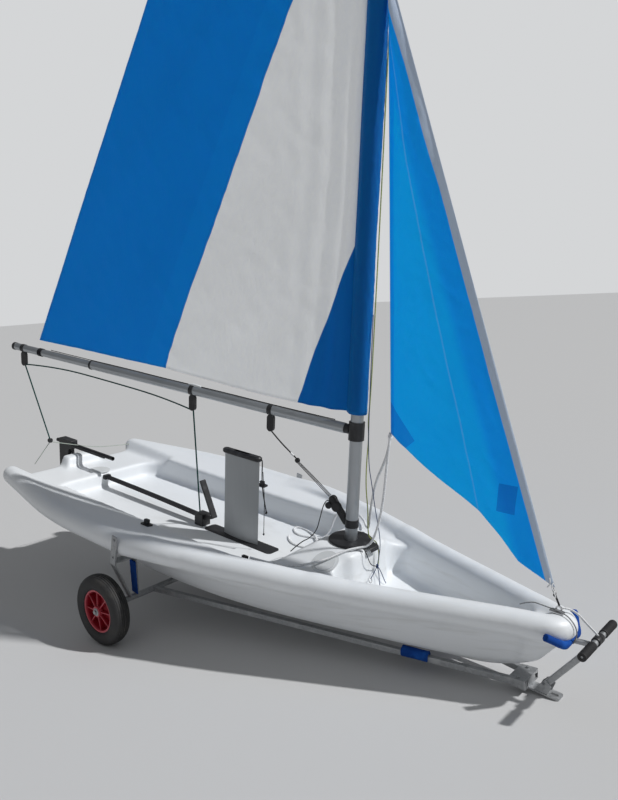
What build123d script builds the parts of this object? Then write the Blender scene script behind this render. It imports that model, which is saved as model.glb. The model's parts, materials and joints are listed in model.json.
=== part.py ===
import os
from math import cos, radians, sin

from build123d import *

# Sailing dinghy with its rig set, standing nose down on a two-wheeled launching trolley.
# +X is forward, +Y is port, +Z is up, and the ground is Z = 0.
# Boat pieces are drawn on the boat's own plane: x from the transom, z from its baseline.

# Fit of the boat on the trolley
ORIGIN_X = 1729.0           # from the transom datum to the middle of the outfit's length
BOAT_PITCH = 7.0            # bow down, in degrees
BOAT_HEIGHT = 326.0         # baseline above the ground at the transom

# Hull
GUNWALE_R = 58.0            # radius of the rolled gunwale
GUNWALE_Z = 362.0           # centre of the roll
SIDE_DECK_Z = 414.0         # where the deck meets the roll
DECK_FALL = 0.12            # slope of the side decks down towards the middle
BEAM_HALF = 657.0           # centre of the roll at its widest
TRANSOM_HALF = 478.0
BOW_X = 3408.0              # centre of the roll at the stem
BOW_RISE = 55.0             # how much higher the roll runs round the bow
BOW_CORNER_HALF = 46.0
BOW_ROLL_R = 64.0
# x, half breadth at the sheer, half breadth at the chine, height of the chine, height of the keel
STATIONS = [
    (0.0, 476.0, 362.0, 142.0, 112.0),
    (500.0, 592.0, 402.0, 130.0, 88.0),
    (1000.0, 650.0, 414.0, 108.0, 74.0),
    (1500.0, 648.0, 404.0, 98.0, 68.0),
    (2000.0, 556.0, 366.0, 112.0, 70.0),
    (2500.0, 372.0, 272.0, 145.0, 77.0),
    (2900.0, 228.0, 160.0, 166.0, 90.0),
    (3150.0, 138.0, 82.0, 188.0, 121.0),
    (3340.0, 72.0, 40.0, 255.0, 222.0),
]
# x and half breadth of the gunwale's corners, and the radius that rounds each
GUNWALE_TURNS = [
    (760.0, BEAM_HALF, 2200.0),
    (1755.0, BEAM_HALF, 1100.0),
]
RISE_START = (2000.0, 563.0)    # x and half breadth where the roll starts to rise
RISE_END = (2450.0, 392.0)
BOW_START = 2000.0          # forward of here the chine and keel sharpen
CHINE_R = 150.0
CHINE_R_BOW = 30.0
KEEL_R = 250.0
KEEL_R_BOW = 20.0

# Cockpit and wells
COCKPIT_AFT = 340.0
COCKPIT_FWD = 2090.0
COCKPIT_HALF = 385.0
COCKPIT_FLOOR = 250.0
COCKPIT_CORNER_R = 110.0
WALL_DRAFT = 6.0            # degrees, of every moulded pocket
MOULD_R = 30.0              # softened inside corners
RIM_DRAFT = 38.0            # degrees, of the flared pocket behind the cockpit
AFT_DECK_Z = 345.0
AFT_DECK_HALF = 400.0
HUMP_HALF = 140.0
HUMP_Z = 415.0
HUMP_LENGTH = 105.0
HUMP_DRAFT = 24.0
WELL_AFT = 2490.0
WELL_FWD = 3190.0
WELL_AFT_HALF = 290.0
WELL_FWD_HALF = 45.0
WELL_BAY = 60.0             # how far the well reaches aft beside the console
WELL_CORNER_R = 60.0
WELL_FLOOR = 250.0
CONSOLE_Z = 470.0
CONSOLE_FOOT_Z = 385.0
CONSOLE_ROOT_Z = 330.0      # how far down the console runs into the hull
CONSOLE_AFT = 2120.0
CONSOLE_FWD = 2485.0
CONSOLE_HALF = 300.0
CONSOLE_TOP_LENGTH = 250.0
CONSOLE_TOP_HALF = 140.0

# Fittings of the hull
HATCH_R = 68.0
HATCH_RING = 3.0
HATCH_LID_R = 54.5
AFT_HATCH_X = 262.0
SLOPE_HATCH_X = 2362.0
SLOPE_HATCH_Y = 216.0
STRAP_AFT_X = 352.0
STRAP_AFT_Z = 318.0
STRAP_EYE_DEPTH = 40.0
STRAP_EYE_HEIGHT = 30.0
STRAP_EYE_CORNER_R = 7.5
STRAP_WIDTH = 50.0
STRAP_THICKNESS = 4.0
STRAP_SAG_X = 800.0
STRAP_SAG_Z = 312.0
STRAP_FWD_Z = 300.0
SHEET_BASE_X = 1270.0
SHEET_BASE_R = 32.0
SHEET_BASE_HEIGHT = 70.0
SHEET_ARM_REACH = 100.0
SHEET_ARM_TOP = 515.0
SHEET_ARM_THICKNESS = 14.0
SHEET_ARM_WIDTH = 36.0
DECK_BLOCK_X = 1325.0
DECK_BLOCK_Y = 455.0
DECK_BLOCK_Z = 389.0
FAIRLEAD_X = 2035.0
FAIRLEAD_Y = 430.0
FAIRLEAD_Z = 395.0
FITTING_LENGTH = 66.0
FITTING_WIDTH = 40.0
FITTING_HEIGHT = 32.0
FITTING_BASE = 8.0
FITTING_CORNER_R = 10.0
FITTING_TOP_LENGTH = 33.0
FITTING_TOP_WIDTH = 20.0
FITTING_TOP_CORNER_R = 5.0

# Daggerboard and its case
BOARD_X = 1587.0            # middle of the chord
BOARD_CHORD = 265.0
BOARD_THICKNESS = 26.0
BOARD_BOTTOM = 60.0
BOARD_TOP = 735.0
BOARD_HEAD_LENGTH = 285.0
BOARD_HEAD_WIDTH = 44.0
BOARD_HEAD_HEIGHT = 27.0
BOARD_HEAD_CHAMFER = 7.0
BOARD_GRIP_LENGTH = 120.0   # of the hand hole sunk in the head
BOARD_GRIP_WIDTH = 22.0
BOARD_GRIP_DEPTH = 14.0
CASE_GAP = 3.0
GASKET_LENGTH = 520.0
GASKET_WIDTH = 92.0
GASKET_THICKNESS = 4.0
GASKET_CORNER_R = 23.0

# Mast, boom and sails
MAST_X = 2351.0
MAST_R = 31.5
MAST_R_UPPER = 27.0
MAST_WALL = 2.0
MAST_HEEL = 150.0
VANG_FOOT_Z = 545.0
VANG_CLAMP_HEIGHT = 40.0
VANG_WALL = 3.0
VANG_REACH = 75.0
VANG_RISE = 95.0
VANG_BLOCK_HALF = 14.0
MAST_TOP = 5450.0
MAST_JOINT = 2850.0         # height of the joint between the two halves of the mast
SPIGOT_LENGTH = 180.0
MAST_BORE_GAP = 0.08
COLLAR_R = 112.0
COLLAR_HEIGHT = 12.0
COLLAR_CHAMFER = 4.0
GOOSENECK_R = 39.0
GOOSENECK_HEIGHT = 90.0
BOOM_Z = 1036.0
BOOM_RISE = 3.5             # degrees above the boat's level
BOOM_YAW = 9.4              # degrees to starboard of the centreline
BOOM_START = 62.0
PLUG_LENGTH = 40.0          # of the gooseneck inside the boom
BOOM_LENGTH = 2431.0        # from the mast's axis
BOOM_R_FWD = 26.0
BOOM_R_AFT = 22.0
BOOM_JOINT = 1750.0
BOOM_OVERLAP = 200.0
BOOM_CAP = 22.0
BOOM_LIP = 2.0              # how far the cap and the joint's ring stand proud
BOOM_CAP_CHAMFER = 3.0
AFT_BLOCK_AT = BOOM_LENGTH - 101.0
MID_BLOCK_AT = 990.0
VANG_AT = 480.0
BLOCK_WALL = 2.5            # of the bands that hold fittings on the boom
BLOCK_BAND = 25.0
BLOCK_LENGTH = 90.0
BLOCK_WIDTH = 40.0
BLOCK_HALF_THICKNESS = 9.0
SAIL_THICKNESS = 6.0
SLEEVE_R = 42.0
SLEEVE_CHORD = 150.0
MAIN_TACK_Z = 1122.0
MAIN_CLEW_S = 2164.0
MAIN_CLEW_Z = 1253.0
MAIN_HEAD_Z = 5360.0
MAIN_HEAD_S = 175.0
MAIN_FOOT_LIFT = 12.0       # of the panel's foot at the sleeve
MAIN_FOOT_ROUND = 8.0
SLEEVE_SEAM = 3.0           # how far the sleeve's flat sides start inside its round
CLEW_STRAP_AT = 6.0         # aft of the clew
CLEW_STRAP_WALL = 3.0
CLEW_STRAP_WIDTH = 30.0
JIB_TACK = (3379.0, 576.0)
JIB_HEAD = (2418.0, 3040.0)
JIB_CLEW = (2547.0, 1065.0)
JIB_LEECH = (2440.0, 2100.0)
JIB_FOOT = (3020.0, 800.0)
STAY_R = 4.0
STAY_END_GAP = 1.3          # between the strop and the eye of the bow fitting
BOW_EYE = (3418.0, 491.0)
BOW_EYE_R = 14.0
BOW_EYE_HOLE_R = 8.0
BOW_EYE_THICKNESS = 6.0
BOW_PLATE_X = 3412.0
BOW_PLATE_LENGTH = 60.0
BOW_PLATE_WIDTH = 34.0
BOW_PLATE_CORNER_R = 8.0
BOW_PLATE_THICKNESS = 4.0

# Steering
PINTLE_X = -48.0
PINTLE_R = 5.0
PINTLE_GAP = 0.08
PINTLE_FOOT = 15.0          # below the stock's datum
PINTLE_LENGTH = 140.0
GUDGEON_HEIGHTS = {"gudgeon_lower": 10.0, "gudgeon_upper": 85.0}
GUDGEON_WIDTH = 24.0
GUDGEON_THICKNESS = 12.0
LUG_RISE = 32.0
LUG_HEIGHT = 44.0
LUG_LENGTH = 24.0
LUG_WIDTH = 20.0
LUG_AFT = 6.0               # how far the lug's middle lies behind the pintle
STOCK_FWD = -63.0
STOCK_Z = 300.0
STOCK_HEIGHT = 190.0
STOCK_LENGTH = 105.0
STOCK_WIDTH = 50.0
STOCK_DROP = 20.0           # of the cheeks below the datum
STOCK_SHOULDER = 130.0
STOCK_HEAD_REACH = 40.0     # how far the head stands forward over the gudgeons
STOCK_CORNER_R = 6.0
TILLER_R = 13.0
TILLER_FWD = 412.0
TILLER_AFT = -223.0
TILLER_Z = 458.0
EXTENSION_R = 8.0
EXTENSION_GAP = 4.0
EXTENSION_AFT = -10.0
EXTENSION_FWD = 352.0
EXTENSION_CLIP = 30.0
BLADE_SLOT = 20.0           # between the cheeks of the stock
BLADE_PIVOT_R = 5.0

# Trolley, in ground coordinates with x from the transom datum
AXLE_X = 1349.0
WHEEL_R = 186.0
WHEEL_Y = 765.0
TYRE_WIDTH = 92.0
RIM_R = 112.0
RIM_WIDTH = 70.0
HUB_R = 27.0
HUB_LENGTH = 84.0
TYRE_BEAD = 14.0
TYRE_SHOULDER = 26.0
TYRE_CROWN = 7.0
TREAD_HALF = 31.0
CROWN_HALF = 11.5
RIM_FLANGE = 9.0
RIM_WELL = 4.0
WEB_OUT = -6.0              # inner face of the web, outwards from the wheel's middle
WEB_THICKNESS = 5.0
WEB_DISH = 14.0
RIBS = 8
RIB_THICKNESS = 4.0
RIB_DROP = 8.0
RIB_BITE = 2.0              # how far each rib runs into the hub and the flange
AXLE_R = 16.0
STUB_R = 10.0
STUB_GAP = 0.08
AXLE_SHOULDER_GAP = 2.0
STUB_BEYOND_HUB = 12.0
RAIL_WIDTH = 28.0
RAIL_WALL = 2.5
RAIL_CORNER_R = 4.0
RAIL_AFT_Y = 435.0
RAIL_FWD_X = 3330.0
RAIL_FWD_Y = 42.0
RAIL_FWD_Z = 48.0
RAIL_PAD_AT = 0.75          # share of the rail's length
RAIL_PAD_LENGTH = 180.0
RAIL_PAD_R = 33.5
UPRIGHT_LEAN = 14.0         # degrees forward
UPRIGHT_WIDTH = 40.0
UPRIGHT_THICKNESS = 8.0
UPRIGHT_FOOT_Y = 600.0
UPRIGHT_TOP_Y = 719.5       # outer face of the roll, and half the bar
UPRIGHT_BEND = 245.0
UPRIGHT_TOP = 400.0
UPRIGHT_ARM = 262.0
UPRIGHT_ARM_INNER_Y = 590.0
UPRIGHT_ARM_FALL = 10.0
UPRIGHT_ARM_FOOT_Y = 555.0
FOOT_TIP_X = 3457.0
FOOT_AFT_X = 3250.0
FOOT_WIDTH = 60.0
FOOT_THICKNESS = 8.0
FOOT_RISE = 9.0             # degrees
FOOT_CORNER_R = 12.0
FOOT_SLOT_AT = 28.0         # from the tip
FOOT_SLOT_LENGTH = 34.0
FOOT_SLOT_WIDTH = 14.0
NOSE_X = 3290.0
NOSE_LENGTH = 78.0
NOSE_WIDTH = 140.0
NOSE_HEIGHT = 44.0
NOSE_CORNER_R = 6.0
CHEEK_THICKNESS = 5.0
# forward of the post's foot, and up from the plate
CHEEK_OUTLINE = [(-28.0, 5.0), (28.0, 0.0), (46.0, 40.0), (26.0, 66.0), (-8.0, 40.0)]
POST_FOOT_X = 3379.0
POST_FOOT_Z = 34.0
POST_TOP_X = 3612.0
POST_TOP_Z = 290.0
POST_WIDTH = 45.0
POST_THICKNESS = 25.0
POST_CORNER_R = 4.0
TBAR_R = 13.0
TBAR_HALF = 174.0
GRIP_R = 19.0
GRIP_LENGTH = 118.0
GRIP_END_WALL = 4.0
SNUBBER_R = 17.0
SNUBBER_X = 3501.8
SNUBBER_Z = 276.0
SNUBBER_HALF = 70.0
SNUBBER_END = (3456.0, 150.0, 334.0)
SNUBBER_BEND_R = 30.0
STRUT_WIDTH = 24.0
STRUT_HEIGHT = 16.0
STRUT_CORNER_R = 3.0
STRUT_LENGTH = 60.0

GAP = 0.3                   # between soft pieces and what they lie against
TOP_CLEARANCE = 80.0        # how far cutting shapes stand above the deck

os.makedirs("parts", exist_ok=True)

pitch_cos = cos(radians(BOAT_PITCH))
pitch_sin = sin(radians(BOAT_PITCH))
BOAT = Plane(
    origin=(-ORIGIN_X, 0, BOAT_HEIGHT),
    x_dir=(pitch_cos, 0, -pitch_sin),
    z_dir=(pitch_sin, 0, pitch_cos),
)


def boat_plane(origin, x_dir=(1, 0, 0), z_dir=(0, 0, 1)):
    """A plane whose origin and directions are given in the boat's coordinates."""
    local = Plane(origin=origin, x_dir=x_dir, z_dir=z_dir)
    return Plane(BOAT.location * local.location)


def deck_plane(x, y, z):
    """A plane that lies level in the boat."""
    return boat_plane((x, y, z))


def station_plane(x):
    """A cross-section plane of the boat, its local x to port and its local y up."""
    return boat_plane((x, 0, 0), x_dir=(0, 1, 0), z_dir=(1, 0, 0))


def profile_plane(y):
    """A fore-and-aft plane of the boat, its local x forward and its local y up."""
    return boat_plane((0, y, 0), x_dir=(1, 0, 0), z_dir=(0, -1, 0))


yaw_cos = cos(radians(BOOM_YAW))
yaw_sin = sin(radians(BOOM_YAW))
# Plane of the boom and mainsail: local x runs aft from the mast's axis, local y runs up it
RIG = boat_plane((MAST_X, 0, 0), x_dir=(-yaw_cos, -yaw_sin, 0), z_dir=(-yaw_sin, yaw_cos, 0))


def rig_plane(aft, up, x_dir, z_dir):
    """A plane given in the rig's coordinates: aft of the mast, up it, and across to port."""
    local = Plane(origin=(aft, up, 0), x_dir=x_dir, z_dir=z_dir)
    return Plane(RIG.location * local.location)


def mast_plane(z):
    """A plane across the mast, its local x pointing aft along the boom."""
    return rig_plane(0, z, x_dir=(1, 0, 0), z_dir=(0, 1, 0))


rise_cos = cos(radians(BOOM_RISE))
rise_sin = sin(radians(BOOM_RISE))


def boom_plane(along):
    """A plane across the boom, its local x up."""
    return rig_plane(
        along * rise_cos,
        BOOM_Z + along * rise_sin,
        x_dir=(-rise_sin, rise_cos, 0),
        z_dir=(rise_cos, rise_sin, 0),
    )


def ground_plane(x, y, z, x_dir=(1, 0, 0), z_dir=(0, 0, 1)):
    """A plane of the trolley, with x from the transom datum and z above the ground."""
    return Plane(origin=(x - ORIGIN_X, y, z), x_dir=x_dir, z_dir=z_dir)


def finish(builder, name):
    """Labels a piece and writes it."""
    builder.part.label = name
    export_step(builder.part, f"parts/{name}.step")


def side_name(side):
    return "starboard" if side < 0 else "port"


# Pockets of the hull, made as plugs whose lower edges are rounded
with BuildPart() as cockpit_plug:
    with BuildSketch(deck_plane((COCKPIT_AFT + COCKPIT_FWD) / 2, 0, COCKPIT_FLOOR)):
        RectangleRounded(COCKPIT_FWD - COCKPIT_AFT, 2 * COCKPIT_HALF, COCKPIT_CORNER_R)
    extrude(amount=CONSOLE_Z + TOP_CLEARANCE - COCKPIT_FLOOR, taper=-WALL_DRAFT)
    fillet(cockpit_plug.faces().sort_by(Axis.Z)[0].edges(), radius=MOULD_R)

with BuildPart() as aft_plug:
    with BuildSketch(deck_plane(0, 0, AFT_DECK_Z)):
        Rectangle(2 * (COCKPIT_AFT + COCKPIT_CORNER_R), 2 * AFT_DECK_HALF)
    extrude(amount=CONSOLE_Z + TOP_CLEARANCE - AFT_DECK_Z, taper=-RIM_DRAFT)

with BuildPart() as well_plug:
    with BuildSketch(deck_plane(0, 0, WELL_FLOOR)):
        with BuildLine():
            FilletPolyline(
                (WELL_AFT, -CONSOLE_TOP_HALF),
                (WELL_AFT - WELL_BAY, -(CONSOLE_TOP_HALF + WELL_AFT_HALF) / 2),
                (WELL_AFT, -WELL_AFT_HALF),
                (WELL_FWD, -WELL_FWD_HALF),
                (WELL_FWD, WELL_FWD_HALF),
                (WELL_AFT, WELL_AFT_HALF),
                (WELL_AFT - WELL_BAY, (CONSOLE_TOP_HALF + WELL_AFT_HALF) / 2),
                (WELL_AFT, CONSOLE_TOP_HALF),
                radius=WELL_CORNER_R,
                close=True,
            )
        make_face()
    extrude(amount=CONSOLE_Z + TOP_CLEARANCE - WELL_FLOOR, taper=-WALL_DRAFT)

# Hull: a loft through the stations, with the gunwale rolled round its edge
with BuildPart() as hull:
    for x, sheer, chine, chine_z, keel_z in STATIONS:
        bow_share = max(0.0, (x - BOW_START) / (STATIONS[-1][0] - BOW_START))
        chine_r = CHINE_R + (CHINE_R_BOW - CHINE_R) * bow_share
        keel_r = KEEL_R + (KEEL_R_BOW - KEEL_R) * bow_share
        with BuildSketch(station_plane(x)):
            with BuildLine():
                FilletPolyline(
                    (sheer, SIDE_DECK_Z),
                    (chine, chine_z),
                    (0, keel_z),
                    (-chine, chine_z),
                    (-sheer, SIDE_DECK_Z),
                    radius=[chine_r, keel_r, chine_r],
                )
                Polyline(
                    (-sheer, SIDE_DECK_Z),
                    (0, SIDE_DECK_Z - DECK_FALL * sheer),
                    (sheer, SIDE_DECK_Z),
                )
            make_face()
    loft()
    for side in (-1, 1):
        with BuildLine(deck_plane(0, 0, GUNWALE_Z)) as side_roll:
            FilletPolyline(
                (0, side * TRANSOM_HALF),
                *[(x, side * half) for x, half, turn_r in GUNWALE_TURNS],
                (RISE_START[0], side * RISE_START[1]),
                radius=[turn_r for x, half, turn_r in GUNWALE_TURNS],
            )
        with BuildSketch(Plane(side_roll.line ^ 0)):
            Circle(GUNWALE_R)
        sweep(path=side_roll.line)
        with BuildLine(deck_plane(0, 0, GUNWALE_Z)) as rising_roll:
            Line((RISE_START[0], side * RISE_START[1], 0), (RISE_END[0], side * RISE_END[1], BOW_RISE))
        with BuildSketch(Plane(rising_roll.line ^ 0)):
            Circle(GUNWALE_R)
        sweep(path=rising_roll.line)
    with BuildLine(deck_plane(0, 0, GUNWALE_Z + BOW_RISE)) as bow_roll:
        FilletPolyline(
            RISE_END,
            (BOW_X, BOW_CORNER_HALF),
            (BOW_X, -BOW_CORNER_HALF),
            (RISE_END[0], -RISE_END[1]),
            radius=BOW_ROLL_R,
        )
    with BuildSketch(Plane(bow_roll.line ^ 0)):
        Circle(GUNWALE_R)
    sweep(path=bow_roll.line)
    for side in (-1, 1):
        with Locations(
            BOAT.location * Location((0, side * TRANSOM_HALF, GUNWALE_Z)),
            BOAT.location * Location((RISE_START[0], side * RISE_START[1], GUNWALE_Z)),
            BOAT.location * Location((RISE_END[0], side * RISE_END[1], GUNWALE_Z + BOW_RISE)),
        ):
            Sphere(GUNWALE_R)
    # Console round the mast
    with BuildSketch(deck_plane((CONSOLE_AFT + CONSOLE_FWD) / 2, 0, CONSOLE_FOOT_Z)):
        RectangleRounded(CONSOLE_FWD - CONSOLE_AFT, 2 * CONSOLE_HALF, MOULD_R)
    with BuildSketch(deck_plane(MAST_X, 0, CONSOLE_Z)):
        RectangleRounded(CONSOLE_TOP_LENGTH, 2 * CONSOLE_TOP_HALF, MOULD_R)
    loft()
    with BuildSketch(deck_plane((CONSOLE_AFT + CONSOLE_FWD) / 2, 0, CONSOLE_FOOT_Z)):
        RectangleRounded(CONSOLE_FWD - CONSOLE_AFT, 2 * CONSOLE_HALF, MOULD_R)
    extrude(amount=CONSOLE_ROOT_Z - CONSOLE_FOOT_Z)
    add(cockpit_plug.part, mode=Mode.SUBTRACT)
    add(aft_plug.part, mode=Mode.SUBTRACT)
    add(well_plug.part, mode=Mode.SUBTRACT)
    # Hump in the middle of the transom, which carries the rudder
    with BuildSketch(deck_plane(0, 0, AFT_DECK_Z)):
        Rectangle(2 * HUMP_LENGTH, 2 * HUMP_HALF)
    extrude(amount=HUMP_Z - AFT_DECK_Z, taper=HUMP_DRAFT)
    with BuildSketch(station_plane(0)):
        Rectangle(4 * HUMP_HALF, 4 * HUMP_Z)
    extrude(amount=-2 * HUMP_LENGTH, mode=Mode.SUBTRACT)
    # Daggerboard case, and the mast's step
    with BuildSketch(deck_plane(BOARD_X, 0, 0)):
        SlotOverall(BOARD_CHORD + 2 * CASE_GAP, BOARD_THICKNESS + 2 * CASE_GAP)
    extrude(amount=COCKPIT_FLOOR + TOP_CLEARANCE, mode=Mode.SUBTRACT)
    with BuildSketch(deck_plane(MAST_X, 0, MAST_HEEL)):
        Circle(MAST_R + MAST_BORE_GAP)
    extrude(amount=CONSOLE_Z + TOP_CLEARANCE - MAST_HEEL, mode=Mode.SUBTRACT)
finish(hull, "hull")

# Round hatches: one on the aft deck, one moulded on the starboard slope of the console
slope_rise = CONSOLE_Z - CONSOLE_FOOT_Z
slope_run = CONSOLE_HALF - CONSOLE_TOP_HALF
slope_hatch_z = CONSOLE_Z - (SLOPE_HATCH_Y - CONSOLE_TOP_HALF) * slope_rise / slope_run
aft_hatch_plane = deck_plane(AFT_HATCH_X, 0, AFT_DECK_Z)
slope_hatch_plane = boat_plane(
    (SLOPE_HATCH_X, -SLOPE_HATCH_Y, slope_hatch_z), x_dir=(1, 0, 0), z_dir=(0, -slope_rise, slope_run)
)
for name, plane in (("hatch_aft", aft_hatch_plane), ("hatch_console", slope_hatch_plane)):
    with BuildPart() as hatch:
        with BuildSketch(plane):
            Circle(HATCH_R)
        extrude(amount=HATCH_RING)
        with BuildSketch(plane):
            Circle(HATCH_LID_R)
        extrude(amount=2 * HATCH_RING)
    finish(hatch, name)

# Hiking strap, made fast to a plate on the cockpit's aft wall and to the mainsheet's base
with BuildPart() as strap_eye:
    with BuildSketch(station_plane(STRAP_AFT_X)):
        with Locations((0, STRAP_AFT_Z)):
            RectangleRounded(STRAP_WIDTH, STRAP_EYE_HEIGHT, STRAP_EYE_CORNER_R)
    extrude(amount=-STRAP_EYE_DEPTH)
    add(hull.part, mode=Mode.SUBTRACT)
finish(strap_eye, "strap_eye")

with BuildPart() as hiking_strap:
    with BuildSketch(profile_plane(0)):
        with BuildLine():
            ThreePointArc(
                (STRAP_AFT_X, STRAP_AFT_Z),
                (STRAP_SAG_X, STRAP_SAG_Z),
                (SHEET_BASE_X - SHEET_BASE_R, STRAP_FWD_Z),
            )
            offset(amount=STRAP_THICKNESS / 2)
        make_face()
        with Locations((STRAP_AFT_X - STRAP_THICKNESS, STRAP_AFT_Z)):
            Rectangle(2 * STRAP_THICKNESS, 2 * STRAP_EYE_HEIGHT, mode=Mode.SUBTRACT)
        with Locations((SHEET_BASE_X - SHEET_BASE_R + STRAP_THICKNESS, STRAP_FWD_Z)):
            Rectangle(2 * STRAP_THICKNESS, 2 * STRAP_EYE_HEIGHT, mode=Mode.SUBTRACT)
    extrude(amount=STRAP_WIDTH / 2, both=True)
finish(hiking_strap, "hiking_strap")

with BuildPart() as sheet_base:
    with BuildSketch(deck_plane(SHEET_BASE_X, 0, COCKPIT_FLOOR)):
        Rectangle(2 * SHEET_BASE_R, 2 * SHEET_BASE_R)
    extrude(amount=SHEET_BASE_HEIGHT)
    with BuildSketch(profile_plane(0)):
        with BuildLine():
            Polyline(
                (SHEET_BASE_X, COCKPIT_FLOOR + SHEET_BASE_HEIGHT / 2),
                (SHEET_BASE_X + SHEET_ARM_REACH, COCKPIT_FLOOR + SHEET_BASE_HEIGHT),
                (SHEET_BASE_X, SHEET_ARM_TOP),
            )
            offset(amount=SHEET_ARM_THICKNESS / 2)
        make_face()
    extrude(amount=SHEET_ARM_WIDTH / 2, both=True)
finish(sheet_base, "mainsheet_base")

# Blocks and fairleads on the side decks
for side in (-1, 1):
    for name, x, y, deck_z in (
        ("deck_block", DECK_BLOCK_X, DECK_BLOCK_Y, DECK_BLOCK_Z),
        ("jib_fairlead", FAIRLEAD_X, FAIRLEAD_Y, FAIRLEAD_Z),
    ):
        with BuildPart() as deck_fitting:
            tilted = boat_plane((x, side * y, deck_z), x_dir=(1, 0, 0), z_dir=(0, -side * DECK_FALL, 1))
            with BuildSketch(tilted):
                RectangleRounded(FITTING_LENGTH, FITTING_WIDTH, FITTING_CORNER_R)
            extrude(amount=FITTING_BASE)
            with BuildSketch(tilted):
                RectangleRounded(FITTING_TOP_LENGTH, FITTING_TOP_WIDTH, FITTING_TOP_CORNER_R)
            extrude(amount=FITTING_HEIGHT)
            add(hull.part, mode=Mode.SUBTRACT)
        finish(deck_fitting, f"{name}_{side_name(side)}")

# Daggerboard, held up in its case, with a moulded head that stops it
with BuildSketch() as board_section:
    with BuildLine():
        ThreePointArc((-BOARD_CHORD / 2, 0), (0, BOARD_THICKNESS / 2), (BOARD_CHORD / 2, 0))
        ThreePointArc((BOARD_CHORD / 2, 0), (0, -BOARD_THICKNESS / 2), (-BOARD_CHORD / 2, 0))
    make_face()

with BuildPart() as daggerboard:
    with BuildSketch(deck_plane(BOARD_X, 0, BOARD_BOTTOM)):
        add(board_section.sketch)
    extrude(amount=BOARD_TOP - BOARD_BOTTOM)
finish(daggerboard, "daggerboard")

with BuildPart() as daggerboard_head:
    with BuildSketch(deck_plane(BOARD_X, 0, BOARD_TOP)):
        SlotOverall(BOARD_HEAD_LENGTH, BOARD_HEAD_WIDTH)
    extrude(amount=BOARD_HEAD_HEIGHT)
    chamfer(daggerboard_head.faces().sort_by(Axis.Z)[-1].edges(), length=BOARD_HEAD_CHAMFER)
    with BuildSketch(deck_plane(BOARD_X, 0, BOARD_TOP + BOARD_HEAD_HEIGHT)):
        SlotOverall(BOARD_GRIP_LENGTH, BOARD_GRIP_WIDTH)
    extrude(amount=-BOARD_GRIP_DEPTH, mode=Mode.SUBTRACT)
finish(daggerboard_head, "daggerboard_head")

with BuildPart() as slot_gasket:
    with BuildSketch(deck_plane(BOARD_X, 0, COCKPIT_FLOOR)):
        RectangleRounded(GASKET_LENGTH, GASKET_WIDTH, GASKET_CORNER_R)
        offset(board_section.sketch, amount=GAP, mode=Mode.SUBTRACT)
    extrude(amount=GASKET_THICKNESS)
finish(slot_gasket, "slot_gasket")

# Mast in two tubes, joined by a spigot
with BuildPart() as mast_lower:
    with BuildSketch(mast_plane(MAST_HEEL)):
        Circle(MAST_R)
        Circle(MAST_R - MAST_WALL, mode=Mode.SUBTRACT)
    extrude(amount=MAST_JOINT - MAST_HEEL)
    with BuildSketch(mast_plane(MAST_HEEL)):
        Circle(MAST_R)
    extrude(amount=MAST_R)
finish(mast_lower, "mast_lower")

with BuildPart() as mast_upper:
    with BuildSketch(mast_plane(MAST_JOINT - SPIGOT_LENGTH)):
        Circle(MAST_R_UPPER)
        Circle(MAST_R_UPPER - MAST_WALL, mode=Mode.SUBTRACT)
    extrude(amount=MAST_TOP - MAST_JOINT + SPIGOT_LENGTH)
    with BuildSketch(mast_plane(MAST_TOP - MAST_R_UPPER)):
        Circle(MAST_R_UPPER)
    extrude(amount=MAST_R_UPPER)
finish(mast_upper, "mast_upper")

with BuildPart() as mast_ferrule:
    with BuildSketch(mast_plane(MAST_JOINT - SPIGOT_LENGTH)):
        Circle(MAST_R - MAST_WALL)
        Circle(MAST_R_UPPER, mode=Mode.SUBTRACT)
    extrude(amount=SPIGOT_LENGTH)
    with BuildSketch(mast_plane(MAST_JOINT)):
        Circle(MAST_R)
        Circle(MAST_R_UPPER, mode=Mode.SUBTRACT)
    extrude(amount=COLLAR_HEIGHT)
finish(mast_ferrule, "mast_ferrule")

with BuildPart() as mast_collar:
    with BuildSketch(deck_plane(MAST_X, 0, CONSOLE_Z)):
        Circle(COLLAR_R)
        Circle(MAST_R + MAST_BORE_GAP, mode=Mode.SUBTRACT)
    extrude(amount=COLLAR_HEIGHT)
    chamfer(mast_collar.faces().sort_by(Axis.Z)[-1].outer_wire().edges(), length=COLLAR_CHAMFER)
finish(mast_collar, "mast_collar")

# Gooseneck: a band round the mast with a fork that takes the boom's end
with BuildPart() as gooseneck:
    with BuildSketch(mast_plane(BOOM_Z - GOOSENECK_HEIGHT / 2)):
        Circle(GOOSENECK_R)
        Circle(MAST_R, mode=Mode.SUBTRACT)
    extrude(amount=GOOSENECK_HEIGHT)
    with BuildSketch(boom_plane(MAST_R + MAST_WALL)):
        Circle(BOOM_R_FWD - MAST_WALL)
    extrude(amount=BOOM_START - MAST_R + PLUG_LENGTH)
finish(gooseneck, "gooseneck")

with BuildPart() as boom:
    with BuildSketch(boom_plane(BOOM_START)):
        Circle(BOOM_R_FWD)
        Circle(BOOM_R_FWD - MAST_WALL, mode=Mode.SUBTRACT)
    extrude(amount=BOOM_JOINT - BOOM_START)
finish(boom, "boom_forward")

with BuildPart() as boom_aft:
    with BuildSketch(boom_plane(BOOM_JOINT - BOOM_OVERLAP)):
        Circle(BOOM_R_AFT)
        Circle(BOOM_R_AFT - MAST_WALL, mode=Mode.SUBTRACT)
    extrude(amount=BOOM_LENGTH - BOOM_CAP - BOOM_JOINT + BOOM_OVERLAP)
finish(boom_aft, "boom_aft")

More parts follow.
